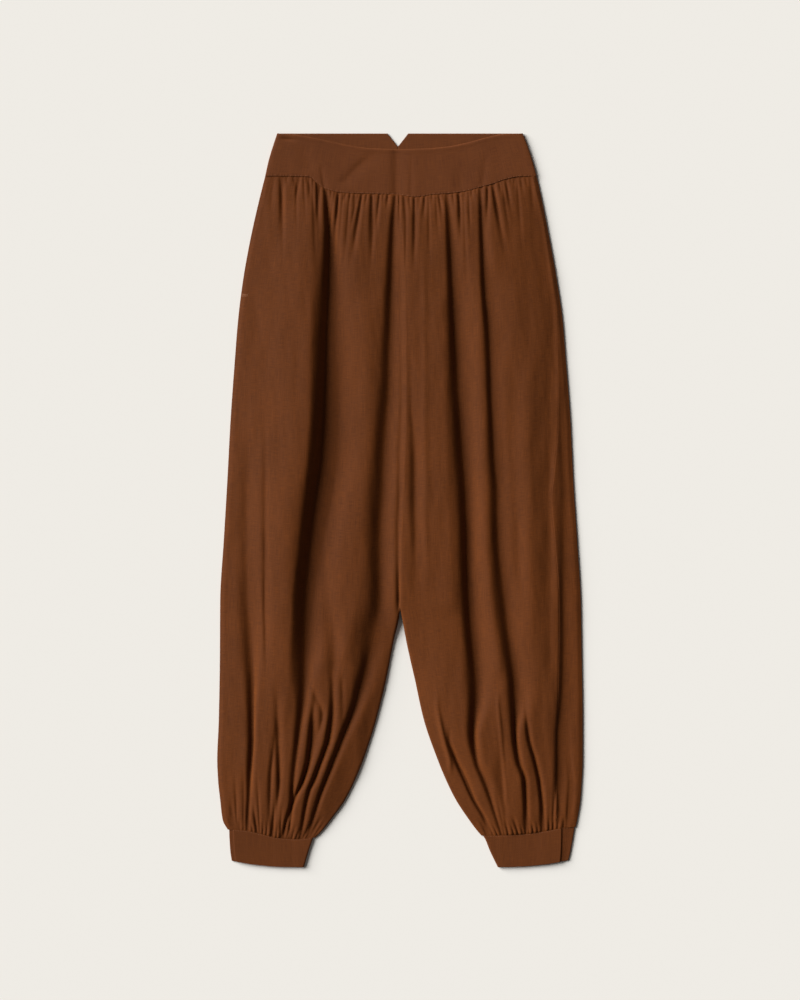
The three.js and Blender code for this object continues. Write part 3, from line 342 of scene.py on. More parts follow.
# A fold as a function of x and y, fading out past its two ends
def makeFold(stations, fade):
    x, y, left, right, depth = (np.array(column, float) for column in zip(*stations))
    path, leftAt, rightAt, depthAt = (curveOf(y, column) for column in (x, left, right, depth))

    def fold(atX, atY):
        past = np.maximum(atY - y[0], y[-1] - atY)
        strength = 1 - smoothStep(past, 0, fade)
        return foldShape(atX - path(atY), leftAt(atY), rightAt(atY), depthAt(atY)) * strength

    return fold


# A gather as a function of x and of the distance from its seam
def makeGather(x, lean, length, reach, depth):
    def gather(atX, distance):
        f = np.clip(distance / length, 0, 1)
        strength = 1 - smoothStep(f, creaseForm["gatherHeld"], 1)
        widened = creaseForm["gatherWidth"] * reach * (1 + creaseForm["gatherWidening"] * f)
        t = (atX - x - lean * f) / widened
        lip = creaseForm["gatherLip"] * np.abs(t) ** 2 if depth > 0 else 0
        return -depth * strength * (1 - lip) * np.exp(-t * t / 2)

    return gather


# Even but unlike gathers for the hidden side
def hiddenGathers(start, end, count, longest):
    pitch = (end - start) / count
    return [makeGather(
        start + pitch * (i + 0.5 + 0.25 * math.sin(5.1 * i)),
        3 * math.sin(2.3 * i),
        longest * (0.7 + 0.3 * math.cos(3.7 * i)),
        pitch * creaseForm["hiddenWidth"],
        -1 - 0.3 * math.sin(4.3 * i)) for i in range(count)]


# Slight unevenness of cloth that has been handled, drawn out along the leg
def makeRipple(seed, height, count, shortest):
    rng = np.random.default_rng(seed)
    length = rng.uniform(shortest, creaseForm["rippleLongest"], count)
    angle = rng.normal(0, creaseForm["rippleTurn"], count)
    phase = rng.uniform(0, 2 * math.pi, count)
    drift = rng.uniform(*creaseForm["rippleDrift"], count)
    share = (length / creaseForm["rippleMiddle"]) ** creaseForm["rippleGrowth"]

    def ripple(x, y):
        total = 0
        for i in range(count):
            across = (x * math.cos(angle[i]) + y * math.sin(angle[i])) / length[i]
            sway = np.sin(2 * math.pi * y / drift[i] + phase[-1 - i])
            wave = np.sin(2 * math.pi * across + phase[i] + 1.2 * sway)
            total = total + share[i] * wave * (0.6 + 0.4 * sway)
        return height * total / math.sqrt(count)

    return ripple


cuffTables = {
    "left": {
        "seamX": [-238, -217, -197, -172, -143, -120], "seamY": [-461.5, -463, -467, -473, -475, -472.5],
        "hemX": [-236, -204, -168, -134], "hemY": [-505, -510.5, -513.5, -514],
        "sideY": [-461, -474, -490, -514], "outer": [-239.5, -239, -238, -234.5],
        "inner": [-118, -122, -127.5, -134.5], "lapTop": 5, "lapBottom": 5},
    "right": {
        "seamX": [119, 143, 178, 202, 221, 245], "seamY": [-470, -469.5, -467.5, -464, -460.5, -457.5],
        "hemX": [137, 171, 207, 224, 237], "hemY": [-514, -513, -509.5, -506.5, -504],
        "sideY": [-457, -470, -476, -490, -514], "outer": [245, 243, 242, 239.5, 234],
        "inner": [112, 117, 120, 125.5, 137], "lapTop": 17.5, "lapBottom": 10.7},
}
cuffSeamAt = {side: curveOf(table["seamX"], table["seamY"]) for side, table in cuffTables.items()}

foldFunctions = [makeFold(stations, creaseForm["foldFade"]) for stations in longFolds.values()]
gathersAtWaist = [makeGather(*row) for row in waistGathers]
gathersAtCuff = {side: [makeGather(*row) for row in rows] for side, rows in cuffGathers.items()}
gathersOfBack = {
    "left": {"waist": hiddenGathers(-185, -6, 13, 24), "cuff": hiddenGathers(-236, -124, 9, 26)},
    "right": {"waist": hiddenGathers(0, 187, 13, 24), "cuff": hiddenGathers(122, 242, 9, 26)},
}
puffAt = curveOf(puff["y"], puff["height"])
frontRipple = makeRipple(3, cloth["rippleHeight"], 50, 5)


# 0 where the two legs are one body, 1 where each has an inner edge of its own
def partedAt(y):
    return smoothStep(cloth["crotch"] - y, 0, cloth["partLength"])


# Height of the middle of the front's wall
def frontHeight(side, x, y):
    fromOuter = np.abs(outerAt[side](y) - x)
    fromInner = np.abs(inseamAt[side](y) - x)
    fromWaist = waistSeamAt(x) - y
    fromCuff = y - cuffSeamAt[side](x)
    fromSeam = np.minimum(fromWaist, fromCuff)
    belowCrotch = smoothStep(cloth["crotch"] + cloth["partsAbove"] - y, 0, cloth["partsOver"])
    share = shoulder(fromOuter, cloth["outerShoulder"])
    share = share * lerp(1, shoulder(fromInner, cloth["innerShoulder"]), belowCrotch)
    seamShare = np.where(fromCuff < fromWaist, cloth["cuffShare"], cloth["waistShare"])
    share = share * lerp(seamShare, 1, shoulder(fromSeam, cloth["seamReach"]))
    lift = puffAt(y) * share + frontRipple(x, y) * shoulder(fromSeam, cloth["seamReach"])
    lift = lift + sum(fold(x, y) for fold in foldFunctions)
    lift = lift + sum(gather(x, fromWaist) for gather in gathersAtWaist)
    lift = lift + sum(gather(x, fromCuff) for gather in gathersAtCuff[side])
    floor = lerp(cloth["seamHeight"], cloth["floor"], smoothStep(fromOuter, *cloth["edgeLevel"]))
    settled = floor + (lift + np.sqrt(lift * lift + 1)) / 2
    freed = lerp(cloth["diveLeast"], 1, smoothStep(fromSeam, *cloth["diveReach"]))
    body = lerp(cloth["seamLevel"], settled, freed)
    outer = roll(fromOuter - cloth["outside"], cloth["rollRadius"])
    inner = roll(fromInner - cloth["outside"], cloth["rollRadius"])
    return cloth["seamHeight"] + (body - cloth["seamHeight"]) * outer * lerp(1, inner, partedAt(y))


# X of the middle of the wall along the inner edge of a leg, and along the silhouette
def innerEdge(side, layer, y):
    inset = cloth["outside"] * partedAt(y)
    line = np.where(y > cloth["crotch"], centreAt[layer](y), inseamAt[side](y))
    return line + signOf[side] * inset


def outerEdge(side, y, inset):
    return outerAt[side](y) - signOf[side] * inset


# The direction across the seam at the inner edge: sideways between the legs, upwards below the crotch
def innerGap(y):
    parted = partedAt(y)
    direction = np.stack([1 - parted, 0 * parted, parted], axis=-1)
    return direction / np.linalg.norm(direction, axis=-1, keepdims=True)


rounds = 7  # x and y depend on each other along curved edges, so they settle in a few rounds


def placeOnLeg(side, waistAt, leftEdge, rightEdge, down, across):
    y = lerp(cloth["backWaist"], cloth["cuffLine"], down) + 0 * across
    for _ in range(rounds):
        x = lerp(leftEdge(y), rightEdge(y), across)
        y = lerp(waistAt(x), cuffSeamAt[side](x), down)
    return x, y


# Distances from 0 to a length: close steps at both ends, even ones between
def stepsAlong(length, pitch, near):
    near = np.asarray(near, float)
    count = max(int(round((length - 2 * near[-1]) / pitch)), 2)
    between = np.linspace(near[-1], length - near[-1], count + 1)
    return np.concatenate([near, between[1:-1], (length - near)[::-1]])


# The same across a width that changes from row to row, with a fixed number of columns
def stepsAcross(width, count, near):
    near = np.asarray(near, float)[None, :]
    shares = np.linspace(0, 1, count - 2 * near.shape[1] + 2)[None, 1:-1]
    between = lerp(near[:, -1:], width - near[:, -1:], shares)
    return np.concatenate([near + 0 * width, between, width - near[:, ::-1]], axis=1)


def quarterTurn(radius, steps):
    return radius * (1 - np.cos(np.linspace(0, math.pi / 2, steps)))


# Length of the cloth along each row, from its first column
def arcAlong(mid):
    lengths = np.linalg.norm(np.diff(mid, axis=1), axis=-1)
    return np.concatenate([np.zeros((len(mid), 1)), np.cumsum(lengths, axis=1)], axis=1)


def placeObject(name, data):
    placed = bpy.data.objects.new(name, data)
    bpy.context.scene.collection.objects.link(placed)
    return placed


uprightRims = {"top": (0, 1, 0), "bottom": (0, 1, 0), "start": (1, 0, 0), "end": (1, 0, 0)}


# A closed wall round a grid of points in millimetres. outward is 1 where the grid's own normal points out of
# the garment. square keeps a rim true to its seam.
def clothWall(name, mid, outward, over, under, uv, material, square):
    normal = np.cross(np.gradient(mid, axis=0), np.gradient(mid, axis=1)) * outward
    for edge, direction in square.items():
        place = {"top": (0, slice(None)), "bottom": (-1, slice(None)),
                 "start": (slice(None), 0), "end": (slice(None), -1)}[edge]
        direction = np.asarray(direction, float)
        normal[place] -= direction * np.sum(normal[place] * direction, axis=-1, keepdims=True)
    normal /= np.linalg.norm(normal, axis=-1, keepdims=True)
    rows, columns = mid.shape[:2]
    points = np.concatenate([(mid + normal * over).reshape(-1, 3), (mid - normal * under).reshape(-1, 3)])
    index = np.arange(rows * columns).reshape(rows, columns)
    a, b, c, d = index[:-1, :-1], index[1:, :-1], index[1:, 1:], index[:-1, 1:]
    facing = np.stack([a, b, c, d], axis=-1).reshape(-1, 4)
    if outward < 0:
        facing = facing[:, ::-1]
    count = rows * columns
    rim = np.concatenate([index[:, 0], index[-1, 1:], index[::-1, -1][1:], index[0, ::-1][1:-1]])
    if outward < 0:
        rim = rim[::-1]
    following = np.roll(rim, -1)
    edgeFaces = np.stack([rim, rim + count, following + count, following], axis=-1)
    quads = np.concatenate([facing, facing[:, ::-1] + count, edgeFaces])
    smooth = np.arange(len(quads)) < len(quads) - len(edgeFaces)
    mesh = bpy.data.meshes.new(name)
    mesh.vertices.add(len(points))
    mesh.vertices.foreach_set("co", (points * mm).astype(np.float32).ravel())
    mesh.loops.add(quads.size)
    mesh.loops.foreach_set("vertex_index", quads.astype(np.int32).ravel())
    mesh.polygons.add(len(quads))
    mesh.polygons.foreach_set("loop_start", np.arange(0, quads.size, 4, dtype=np.int32))
    mesh.update(calc_edges=True)
    mesh.polygons.foreach_set("use_smooth", smooth)
    threads = np.concatenate([uv.reshape(-1, 2)] * 2)[quads.ravel()]
    mesh.uv_layers.new(name="threads").data.foreach_set("uv", (threads * mm).astype(np.float32).ravel())
    mesh.materials.append(material)
    return placeObject(name, mesh)


def linear(hexColour):
    channels = [int(hexColour[i:i + 2], 16) / 255 for i in (1, 3, 5)]
    return [c / 12.92 if c <= 0.04045 else ((c + 0.055) / 1.055) ** 2.4 for c in channels] + [1.0]


def addNode(tree, kind, values=None, links=None, **settings):
    made = tree.nodes.new(kind)
    for name, value in settings.items():
        setattr(made, name, value)
    for socket, value in (values or {}).items():
        made.inputs[socket].default_value = value
    for socket, source in (links or {}).items():
        tree.links.new(source, made.inputs[socket])
    return made


# Viscose and linen blend, plain woven and piece dyed: matt, with a faint sheen, thick and thin threads
# that run both ways, and slightly uneven dye.
weave = {
    "pitch": 1.25,  # mm, a real thread is 0.4 and too fine to show here
    "slubLength": 16,  # mm
    "slubWidth": 0.9,
    "slubShade": 0.24,
    "dyePatch": 70,
    "dyeShade": 0.10,
    "warpShare": 0.6,  # slubs of the warp are longer
    "slubRange": (0.65, 1.35),
    "dyeRange": (0.3, 0.7),
    "reliefShare": 0.35,  # of the weave, beside the slubs
    "bumpDistance": 0.00020,
    "roughness": 0.78,
    "matt": 0.9,
    "gloss": 0.12,
    "sheen": 0.16,
    "sheenRoughness": 0.45,
    "sheenTint": "#96603a",
}


def newMaterial(name):
    material = bpy.data.materials.new(name)
    material.use_nodes = True
    return material, material.node_tree, material.node_tree.nodes["Principled BSDF"]


def wovenCloth(name, base, light, deep):
    material, tree, shader = newMaterial(name)
    threads = addNode(tree, "ShaderNodeUVMap", uv_map="threads").outputs["UV"]
    place = addNode(tree, "ShaderNodeTexCoord").outputs["Object"]

    def noiseOf(source, scale, detail, rough=0.5):
        mapping = addNode(tree, "ShaderNodeMapping", {"Scale": scale}, {"Vector": source})
        return addNode(tree, "ShaderNodeTexNoise", {"Scale": 1, "Detail": detail, "Roughness": rough},
                       {"Vector": mapping.outputs["Vector"]}).outputs["Fac"]

    along, across = 1000 / weave["slubLength"], 1000 / weave["slubWidth"]
    weft = noiseOf(threads, (along, across, 1), 2.0)
    warp = noiseOf(threads, (across, along * weave["warpShare"], 1), 2.0)
    dye = noiseOf(place, (1000 / weave["dyePatch"],) * 3, 3.0)
    slubs = addNode(tree, "ShaderNodeMath", links={0: weft, 1: warp}, operation="ADD").outputs[0]
    tones = []
    for source, (low, high), middle, spread in ((slubs, weave["slubRange"], 0.5, weave["slubShade"] * 1.5),
                                                (dye, weave["dyeRange"], 0, weave["dyeShade"])):
        tones.append(addNode(tree, "ShaderNodeMapRange", {
            "From Min": low, "From Max": high, "To Min": middle - spread, "To Max": middle + spread},
            {"Value": source}).outputs["Result"])
    tone = addNode(tree, "ShaderNodeMath", links={0: tones[0], 1: tones[1]}, operation="ADD").outputs[0]
    ramp = addNode(tree, "ShaderNodeValToRGB", links={"Fac": tone})
    ramp.color_ramp.elements[0].color = linear(deep)
    ramp.color_ramp.elements[1].color = linear(light)
    ramp.color_ramp.elements.new(0.5).color = linear(base)
    tree.links.new(ramp.outputs["Color"], shader.inputs["Base Color"])

    split = addNode(tree, "ShaderNodeSeparateXYZ", links={0: threads})
    waves = []
    for axis in ("X", "Y"):
        turned = addNode(tree, "ShaderNodeMath", {1: math.pi * 1000 / weave["pitch"]},
                         {0: split.outputs[axis]}, operation="MULTIPLY").outputs[0]
        swayed = addNode(tree, "ShaderNodeMath", links={0: turned, 1: dye}, operation="ADD").outputs[0]
        waves.append(addNode(tree, "ShaderNodeMath", links={0: swayed}, operation="SINE").outputs[0])
    overUnder = addNode(tree, "ShaderNodeMath", links={0: waves[0], 1: waves[1]}, operation="MULTIPLY")
    relief = addNode(tree, "ShaderNodeMath", {1: weave["reliefShare"]}, {0: overUnder.outputs[0], 2: slubs},
                     operation="MULTIPLY_ADD").outputs[0]
    bump = addNode(tree, "ShaderNodeBump", {"Strength": 1, "Distance": weave["bumpDistance"]},
                   {"Height": relief})
    tree.links.new(bump.outputs["Normal"], shader.inputs["Normal"])
    shader.inputs["Roughness"].default_value = weave["roughness"]
    shader.inputs["Diffuse Roughness"].default_value = weave["matt"]
    shader.inputs["Specular IOR Level"].default_value = weave["gloss"]
    shader.inputs["Sheen Weight"].default_value = weave["sheen"]
    shader.inputs["Sheen Roughness"].default_value = weave["sheenRoughness"]
    shader.inputs["Sheen Tint"].default_value = linear(weave["sheenTint"])
    return material


clothMaterial = wovenCloth("wovenViscoseLinen", "#663512", "#773e15", "#53290d")
# painted light: the waistband's copy of the leg cloth is made a little lighter than the legs
bandMaterial = wovenCloth("wovenViscoseLinenPaintedLighter", "#6a391a", "#76401c", "#5b2f15")
# painted shade: the cuffs' copy of the leg cloth is made a little darker than the legs
cuffMaterial = wovenCloth("wovenViscoseLinenPaintedDarker", "#633414", "#6f3b17", "#552b11")

# Spun polyester sewing thread, dyed to the cloth: twisted, so it has a soft glint along each stitch, partly
# from its bump and partly painted as the light end of its colour ramp
thread = {
    "twistScale": 2600,
    "bumpStrength": 0.6,
    "bumpDistance": 0.00008,
    "roughness": 0.5,
}


def spunThread(name, shade, light):
    material, tree, shader = newMaterial(name)
    twist = addNode(tree, "ShaderNodeTexNoise", {"Scale": thread["twistScale"], "Detail": 2.0},
                    {"Vector": addNode(tree, "ShaderNodeTexCoord").outputs["Object"]})
    # painted glint: the twist noise runs from the thread's own colour to a much lighter glint colour
    tone = addNode(tree, "ShaderNodeValToRGB", links={"Fac": twist.outputs["Fac"]})
    tone.color_ramp.elements[0].color = linear(shade)
    tone.color_ramp.elements[1].color = linear(light)
    tree.links.new(tone.outputs["Color"], shader.inputs["Base Color"])
    relief = {"Strength": thread["bumpStrength"], "Distance": thread["bumpDistance"]}
    bump = addNode(tree, "ShaderNodeBump", relief, {"Height": twist.outputs["Fac"]})
    tree.links.new(bump.outputs["Normal"], shader.inputs["Normal"])
    shader.inputs["Roughness"].default_value = thread["roughness"]
    return material


# the second colour is a painted glint
seamThread = spunThread("spunPolyesterThread", "#5d331d", "#9a6443")
tackThreadPaintedHighlight = spunThread("spunPolyesterTackThreadPaintedHighlight", "#8a5536", "#c08c66")  # painted highlight: packed close, it looks lighter, so both its colours are made lighter than the seam thread's
print("materials ready")


# Places on a leg panel: x, y, the distance from its left edge, its width and the share of the way down
def legGrid(side, waistAt, leftEdge, rightEdge, columns, near):
    rows = stepsAlong(cloth["length"], cloth["rowPitch"] * coarser, cloth["closeRows"])
    down = (rows / cloth["length"])[:, None]
    middle = placeOnLeg(side, waistAt, leftEdge, rightEdge, down, np.full_like(down, 0.5))[1]
    width = rightEdge(middle) - leftEdge(middle)
    distance = stepsAcross(width, columns // coarser, near)
    x, y = placeOnLeg(side, waistAt, leftEdge, rightEdge, down, distance / width)
    return x, y, distance, width, down


# How a leg panel's rims stand at the bands, at its side and at the gap along its inner edge
def legRims(side, y):
    gap = innerGap(y[:, -1 if side == "left" else 0])
    sides = {"start": (0, 0, 1), "end": gap} if side == "left" else {"start": gap, "end": (1, 0, 0)}
    return {**uprightRims, **sides}


def ridgeAt(distance, reach, height):
    return height * np.exp(-(distance / reach) ** 2)


def frontPanel(side):
    def silhouette(y):
        return outerEdge(side, y, cloth["outside"])

    def sideSeam(y):
        return outerAt[side](y) - wrapAt(y)

    def inner(y):
        return innerEdge(side, "front", y)

    leftEdge, rightEdge = (silhouette, inner) if side == "left" else (inner, sideSeam)
    x, y, distance, width, down = legGrid(side, waistSeamAt, leftEdge, rightEdge, cloth["columns"],
                                          quarterTurn(cloth["rollRadius"], 7))
    z = frontHeight(side, x, y)
    centreRidge = ridgeAt(x - centreAt["front"](y), cloth["centreRidgeReach"], cloth["centreRidge"])
    z = z + centreRidge * (1 - partedAt(y)) * smoothStep(waistSeamAt(x) - y, *cloth["centreRidgeFrom"])
    if side == "right":
        z = z + ridgeAt(sideSeam(y) - x, cloth["seamRidgeReach"], cloth["seamRidge"])
    uv = np.stack([distance / width * cloth["cutWidth"], -down * cloth["length"] + 0 * x], axis=-1)
    mid = np.stack([x, y, z], axis=-1)
    return clothWall("front" + side.title(), mid, 1, cloth["outside"], cloth["inside"], uv, clothMaterial,
                     legRims(side, y))


# Flat where it rests, turned up at its edges. The right one goes on over the top to the side seam.
def backPanel(side):
    rest = cloth["outside"]
    rise = cloth["seamHeight"] - rest

    def silhouette(y):
        return outerEdge(side, y, rest)

    def inner(y):
        return innerEdge(side, "back", y)

    def level(x):
        return cloth["backWaist"] + 0 * x

    leftEdge, rightEdge = (silhouette, inner) if side == "left" else (inner, silhouette)
    x, y, distance, width, down = legGrid(side, level, leftEdge, rightEdge, cloth["backColumns"][side],
                                          quarterTurn(cloth["turnRadius"], 6))
    flat = sum(gather(x, cloth["backWaist"] - y) for gather in gathersOfBack[side]["waist"])
    flat = flat + sum(gather(x, y - cuffSeamAt[side](x)) for gather in gathersOfBack[side]["cuff"])
    fromStart, fromEnd = distance, width - distance
    parted = partedAt(y)
    startRise, endRise = (rise, rise * parted) if side == "left" else (rise * parted, rise)
    fromEdge = np.minimum(fromStart, fromEnd)
    z = rest + flat * smoothStep(fromEdge, cloth["turnRadius"], cloth["backGathersFrom"])
    for away, lifted in ((fromStart, startRise), (fromEnd, endRise)):
        z = z + lifted * (1 - roll(away, cloth["turnRadius"]))
    grids = [np.stack([x, y, z], axis=-1)]
    if side == "right":
        close = cloth["wrapClose"]
        steps = np.concatenate([quarterTurn(1, 9)[1:] * close, np.linspace(close, 1, 20)[1:]])[::coarser]
        steps[-1] = 1
        share = steps[None, :] + 0 * down

        def wrapped(atY):
            return silhouette(atY) - (wrapAt(atY) - rest) * share

        overX, overY = placeOnLeg(side, waistSeamAt, wrapped, wrapped, down, 0 * share)
        overZ = frontHeight(side, overX, overY)
        fromOuter = outerAt[side](overY) - overX
        fromSeam = overX - (outerAt[side](overY) - wrapAt(overY))
        overZ = overZ + ridgeAt(fromSeam, cloth["wrapRidgeReach"], cloth["seamRidge"]) * roll(
            fromOuter, cloth["wrapRidgeReach"])
        grids.append(np.stack([overX, overY, overZ], axis=-1))
    mid = np.concatenate(grids, axis=1)
    arc = arcAlong(mid)
    uv = np.stack([arc / arc[:, -1:] * cloth["backCutWidth"], -down * cloth["length"] + 0 * arc], axis=-1)
    return clothWall("back" + side.title(), mid, -1, rest, cloth["inside"], uv, clothMaterial,
                     legRims(side, y))


# The waistband: two layers of pressed cloth, dipping at the front, with a notch at the back
band = {
    "outside": 1,
    "inside": 0.8,
    "height": 4.6,
    "sideHeight": 3.4,
    "top": 514,
    "tall": 60,
    "wide": 380,
    "halfWidth": 170,
    "notchX": -3,
    "notchHalf": 14.5,
    "notchDepth": 18.5,
    "edgeRadius": 6,
    "lipHeight": 0.4,  # how proud the top edge stands, away from the sides
    "lipBelow": 2,
    "lipReach": 2.6,
    "sideFade": (2, 26),
    "edgeDrop": 1.2,  # how far it turns down at the very edge
    "dent": {"x": -158, "below": 6.5, "depth": 2.2, "reach": (11, 2.6)},
    "scallopHeight": 0.3,  # unevenness that the gathers pull into its seam
    "scallopPace": (1.19, 0.31),
    "scallopFade": (0.5, 4),
    "seamDrop": 0.25,
    "seamDropReach": 3.2,
    "creaseFade": 10,
    "rippleHeight": 0.16,
    "columns": 300,
    "rows": 46,
    "backRows": 30,
    "backPitch": 1.7,
    "threadShift": (300, -454),
    "closeRows": [0, 0.4, 0.9, 1.6, 2.6],
}
bandCreases = {
    "slanting crease": [(-43, 482, 8, 14, 0.7), (-58, 468, 8, 15, 1.5), (-76, 448, 8, 14, 1.2)],
    "centre shade": [(-5, 489, 6.5, 12, 1.5), (-5, 430, 6.5, 12, 1.9)],
    "faint line right of the centre": [(16, 478, 3, 4, 0.3), (15, 430, 3, 4, 0.6)],
    "pucker at the left corner": [(-110, 462, 2.4, 5, 0.6), (-107, 440, 2.4, 5, 1.3)],
    "pucker at the right": [(120, 478, 5, 5, 0.4), (116, 445, 5, 5, 1.0)],
    "soft dent at the left": [(-134, 488, 9, 9, 0.5), (-128, 468, 9, 9, 0.7)],
    "soft dent at the right": [(84, 462, 8, 8, 0.3), (84, 440, 8, 8, 0.7)],
}
creaseFunctions = [makeFold(stations, band["creaseFade"]) for stations in bandCreases.values()]
bandRipple = makeRipple(11, band["rippleHeight"], 26, 11)


def frontBand():
    rest, tall = band["sideHeight"], band["tall"]
    up = 1 - stepsAlong(tall, tall / (band["rows"] // coarser), band["closeRows"])[:, None] / tall
    y = lerp(cloth["backWaist"], band["top"], up)
    width = outerEdge("right", y, band["outside"]) - outerEdge("left", y, band["outside"])
    distance = stepsAcross(width, band["columns"] // coarser, quarterTurn(band["edgeRadius"], 7))
    u = distance / width
    for _ in range(rounds):
        x = lerp(outerEdge("left", y, band["outside"]), outerEdge("right", y, band["outside"]), u)
        y = lerp(waistSeamAt(x), waistTopAt(x), up)
    body = band["height"] + bandRipple(x, y * 0.5) + sum(crease(x, y) for crease in creaseFunctions)
    fromTop, fromSeam = waistTopAt(x) - y, y - waistSeamAt(x)
    fromSide = np.minimum(distance, width - distance)
    awayFromSide = smoothStep(fromSide, *band["sideFade"])
    body = body + ridgeAt(fromTop - band["lipBelow"], band["lipReach"], band["lipHeight"]) * awayFromSide
    dent, (fast, slow) = band["dent"], band["scallopPace"]
    body = body - ridgeAt(x - dent["x"], dent["reach"][0], dent["depth"]) * ridgeAt(
        fromTop - dent["below"], dent["reach"][1], 1)
    scallop = band["scallopHeight"] * np.sin(x * fast + 1.7 * np.sin(x * slow))
    body = body + scallop * (1 - smoothStep(fromSeam, *band["scallopFade"]))
    body = body - band["seamDrop"] * (1 - smoothStep(fromSeam, 0, band["seamDropReach"]))
    body = body - band["edgeDrop"] * (1 - roll(fromTop, band["edgeDrop"])) * awayFromSide
    z = rest + (body - rest) * roll(fromSide, band["edgeRadius"])
    uv = np.stack([u * band["wide"], up * tall + 0 * u], axis=-1)
    return clothWall("waistbandFront", np.stack([x, y, z], axis=-1), 1, band["outside"], band["inside"], uv,
                     bandMaterial, {"bottom": (0, 1, 0), "start": (0, 0, 1), "end": (0, 0, 1)})


# One half of the back waistband. Its top runs straight to the notch at the centre seam.
def backBand(side):
    sign, rest, centre = signOf[side], band["outside"], band["notchX"]
    corner = centre + sign * band["notchHalf"]

    def topOf(x):
        return band["top"] - band["notchDepth"] * np.clip(1 - np.abs(x - centre) / band["notchHalf"], 0, 1)

    up = np.linspace(1, 0, band["backRows"] // coarser + 1)[:, None]
    turn = quarterTurn(cloth["turnRadius"], 6)
    toCorner = np.linspace(0, 1, int(band["halfWidth"] / (band["backPitch"] * coarser)))[None, 1:]
    toCentre = np.linspace(0, 1, 12)[None, 1:]
    y = lerp(cloth["backWaist"], band["top"], up)
    for _ in range(rounds):
        outer = outerEdge(side, y, rest)
        y = lerp(cloth["backWaist"], topOf(outer), up)
    start = outer - sign * turn[-1]
    x = np.concatenate([outer - sign * turn[None, :], lerp(start, corner, toCorner),
                        lerp(corner, centre, toCentre) + 0 * start], axis=1)
    y = lerp(cloth["backWaist"], topOf(x), up)
    z = rest + (band["sideHeight"] - rest) * (1 - roll(np.abs(x - outer), cloth["turnRadius"]))
    mid = np.stack([x, y, z], axis=-1)
    return clothWall("waistbandBack" + side.title(), mid, sign, rest, band["inside"],
                     mid[..., :2] + band["threadShift"], bandMaterial, {**uprightRims, "start": (0, 0, 1)})


# Cuff: one strip that starts at the lap on the front, goes round the inner side and under, comes up
# round the outer side and ends under the lap
cuffs = {
    "outside": 0.7,
    "inside": 0.4,
    "tall": 50,
    "hemLine": -510,
    "underlap": 11,
    "backLevel": 0.7,
    "underLevel": 2.3,
    "underlapTilt": 1.2,  # the underlap slopes down from the lap to the outer side
    "tiltOver": (0.1, 0.55),  # shares of the underlap
    "lapLevel": 4.7,
    "frontLevel": 4.3,
    "lapDropOver": (0.16, 0.4),  # shares of the front
    "seamDrop": 0.15,
    "seamDropReach": 2,
    "rows": 34,
    "columns": {"front": 36, "innerTurn": 6, "back": 30, "outerTurn": 5, "underlap": 5},
}


def cuff(side):
    sign, table, tall = signOf[side], cuffTables[side], cuffs["tall"]
    hemAt = curveOf(table["hemX"], table["hemY"])
    outerSide, innerSide = curveOf(table["sideY"], table["outer"]), curveOf(table["sideY"], table["inner"])
    back, under = cuffs["backLevel"], cuffs["underLevel"]
    innerRadius, outerRadius = (cuffs["frontLevel"] - back) / 2, (under - back) / 2
    count = {part: number * 2 // coarser for part, number in cuffs["columns"].items()}
    # Columns of the strip: inset from the outer side and how much of the lap's width it has besides, inset
    # from the inner side, share of the way, height
    columns = []
    for part in np.linspace(0, 1, count["front"]):
        level = lerp(cuffs["lapLevel"], cuffs["frontLevel"], smoothStep(part, *cuffs["lapDropOver"]))
        columns.append((0, 1, innerRadius, part, level))
    for angle in np.linspace(0, math.pi, count["innerTurn"])[1:]:
        inset = innerRadius * (1 - math.sin(angle))
        columns.append((0, 0, inset, 1, back + innerRadius * (1 + math.cos(angle))))
    for part in np.linspace(1, 0, count["back"])[1:]:
        columns.append((outerRadius, 0, innerRadius, part, back))
    for angle in np.linspace(0, math.pi, count["outerTurn"])[1:]:
        inset = outerRadius * (1 - math.sin(angle))
        columns.append((inset, 0, 0, 0, back + outerRadius * (1 - math.cos(angle))))
    for part in np.linspace(0, 1, count["underlap"])[1:]:
        tilt = cuffs["underlapTilt"] * smoothStep(part, *cuffs["tiltOver"])
        columns.append((lerp(outerRadius, cuffs["underlap"], part), part, 0, 0, under + tilt))
    outerInset, lapShare, innerInset, share, z = np.array(columns).T[:, None, :]
    down = stepsAlong(tall, tall / (cuffs["rows"] // coarser), band["closeRows"])[:, None] / tall
    outerInset = outerInset + lapShare * lerp(table["lapTop"], table["lapBottom"], down)
    y = lerp(cloth["cuffLine"], cuffs["hemLine"], down) + 0 * share
    for _ in range(rounds):
        start = outerSide(y) - sign * (cuffs["outside"] + outerInset)
        end = innerSide(y) + sign * (cuffs["outside"] + innerInset)
        x = lerp(start, end, share)
        y = lerp(cuffSeamAt[side](x), hemAt(x), down)
    onFront = np.arange(z.shape[1])[None, :] < count["front"]
    ease = onFront * smoothStep(share, 0.02, 0.12) * (1 - smoothStep(share, 0.9, 0.99))
    z = z + ease * bandRipple(x * 1.3, y + 90)
    z = z - ease * cuffs["seamDrop"] * (1 - smoothStep(down * tall, 0, cuffs["seamDropReach"]))
    mid = np.stack([x, y, z + 0 * y], axis=-1)
    arc = arcAlong(mid)
    uv = np.stack([arc, -down * tall + 0 * arc], axis=-1)
    return clothWall("cuff" + side.title(), mid, -sign, cuffs["outside"], cuffs["inside"], uv, cuffMaterial,
                     uprightRims)


# Pocket bag: flat cloth on the back panel, just inside the side seam
pocket = {
    "top": 410,
    "inset": 7,
    "level": 2,
    "half": 0.4,  # of its thickness
    "threadShift": (400, 0),
    "below": [0, 50, 110, 160, 195, 218],
    "reach": [62, 96, 118, 112, 84, 40],
    "rows": 30,
    "columns": 24,
}


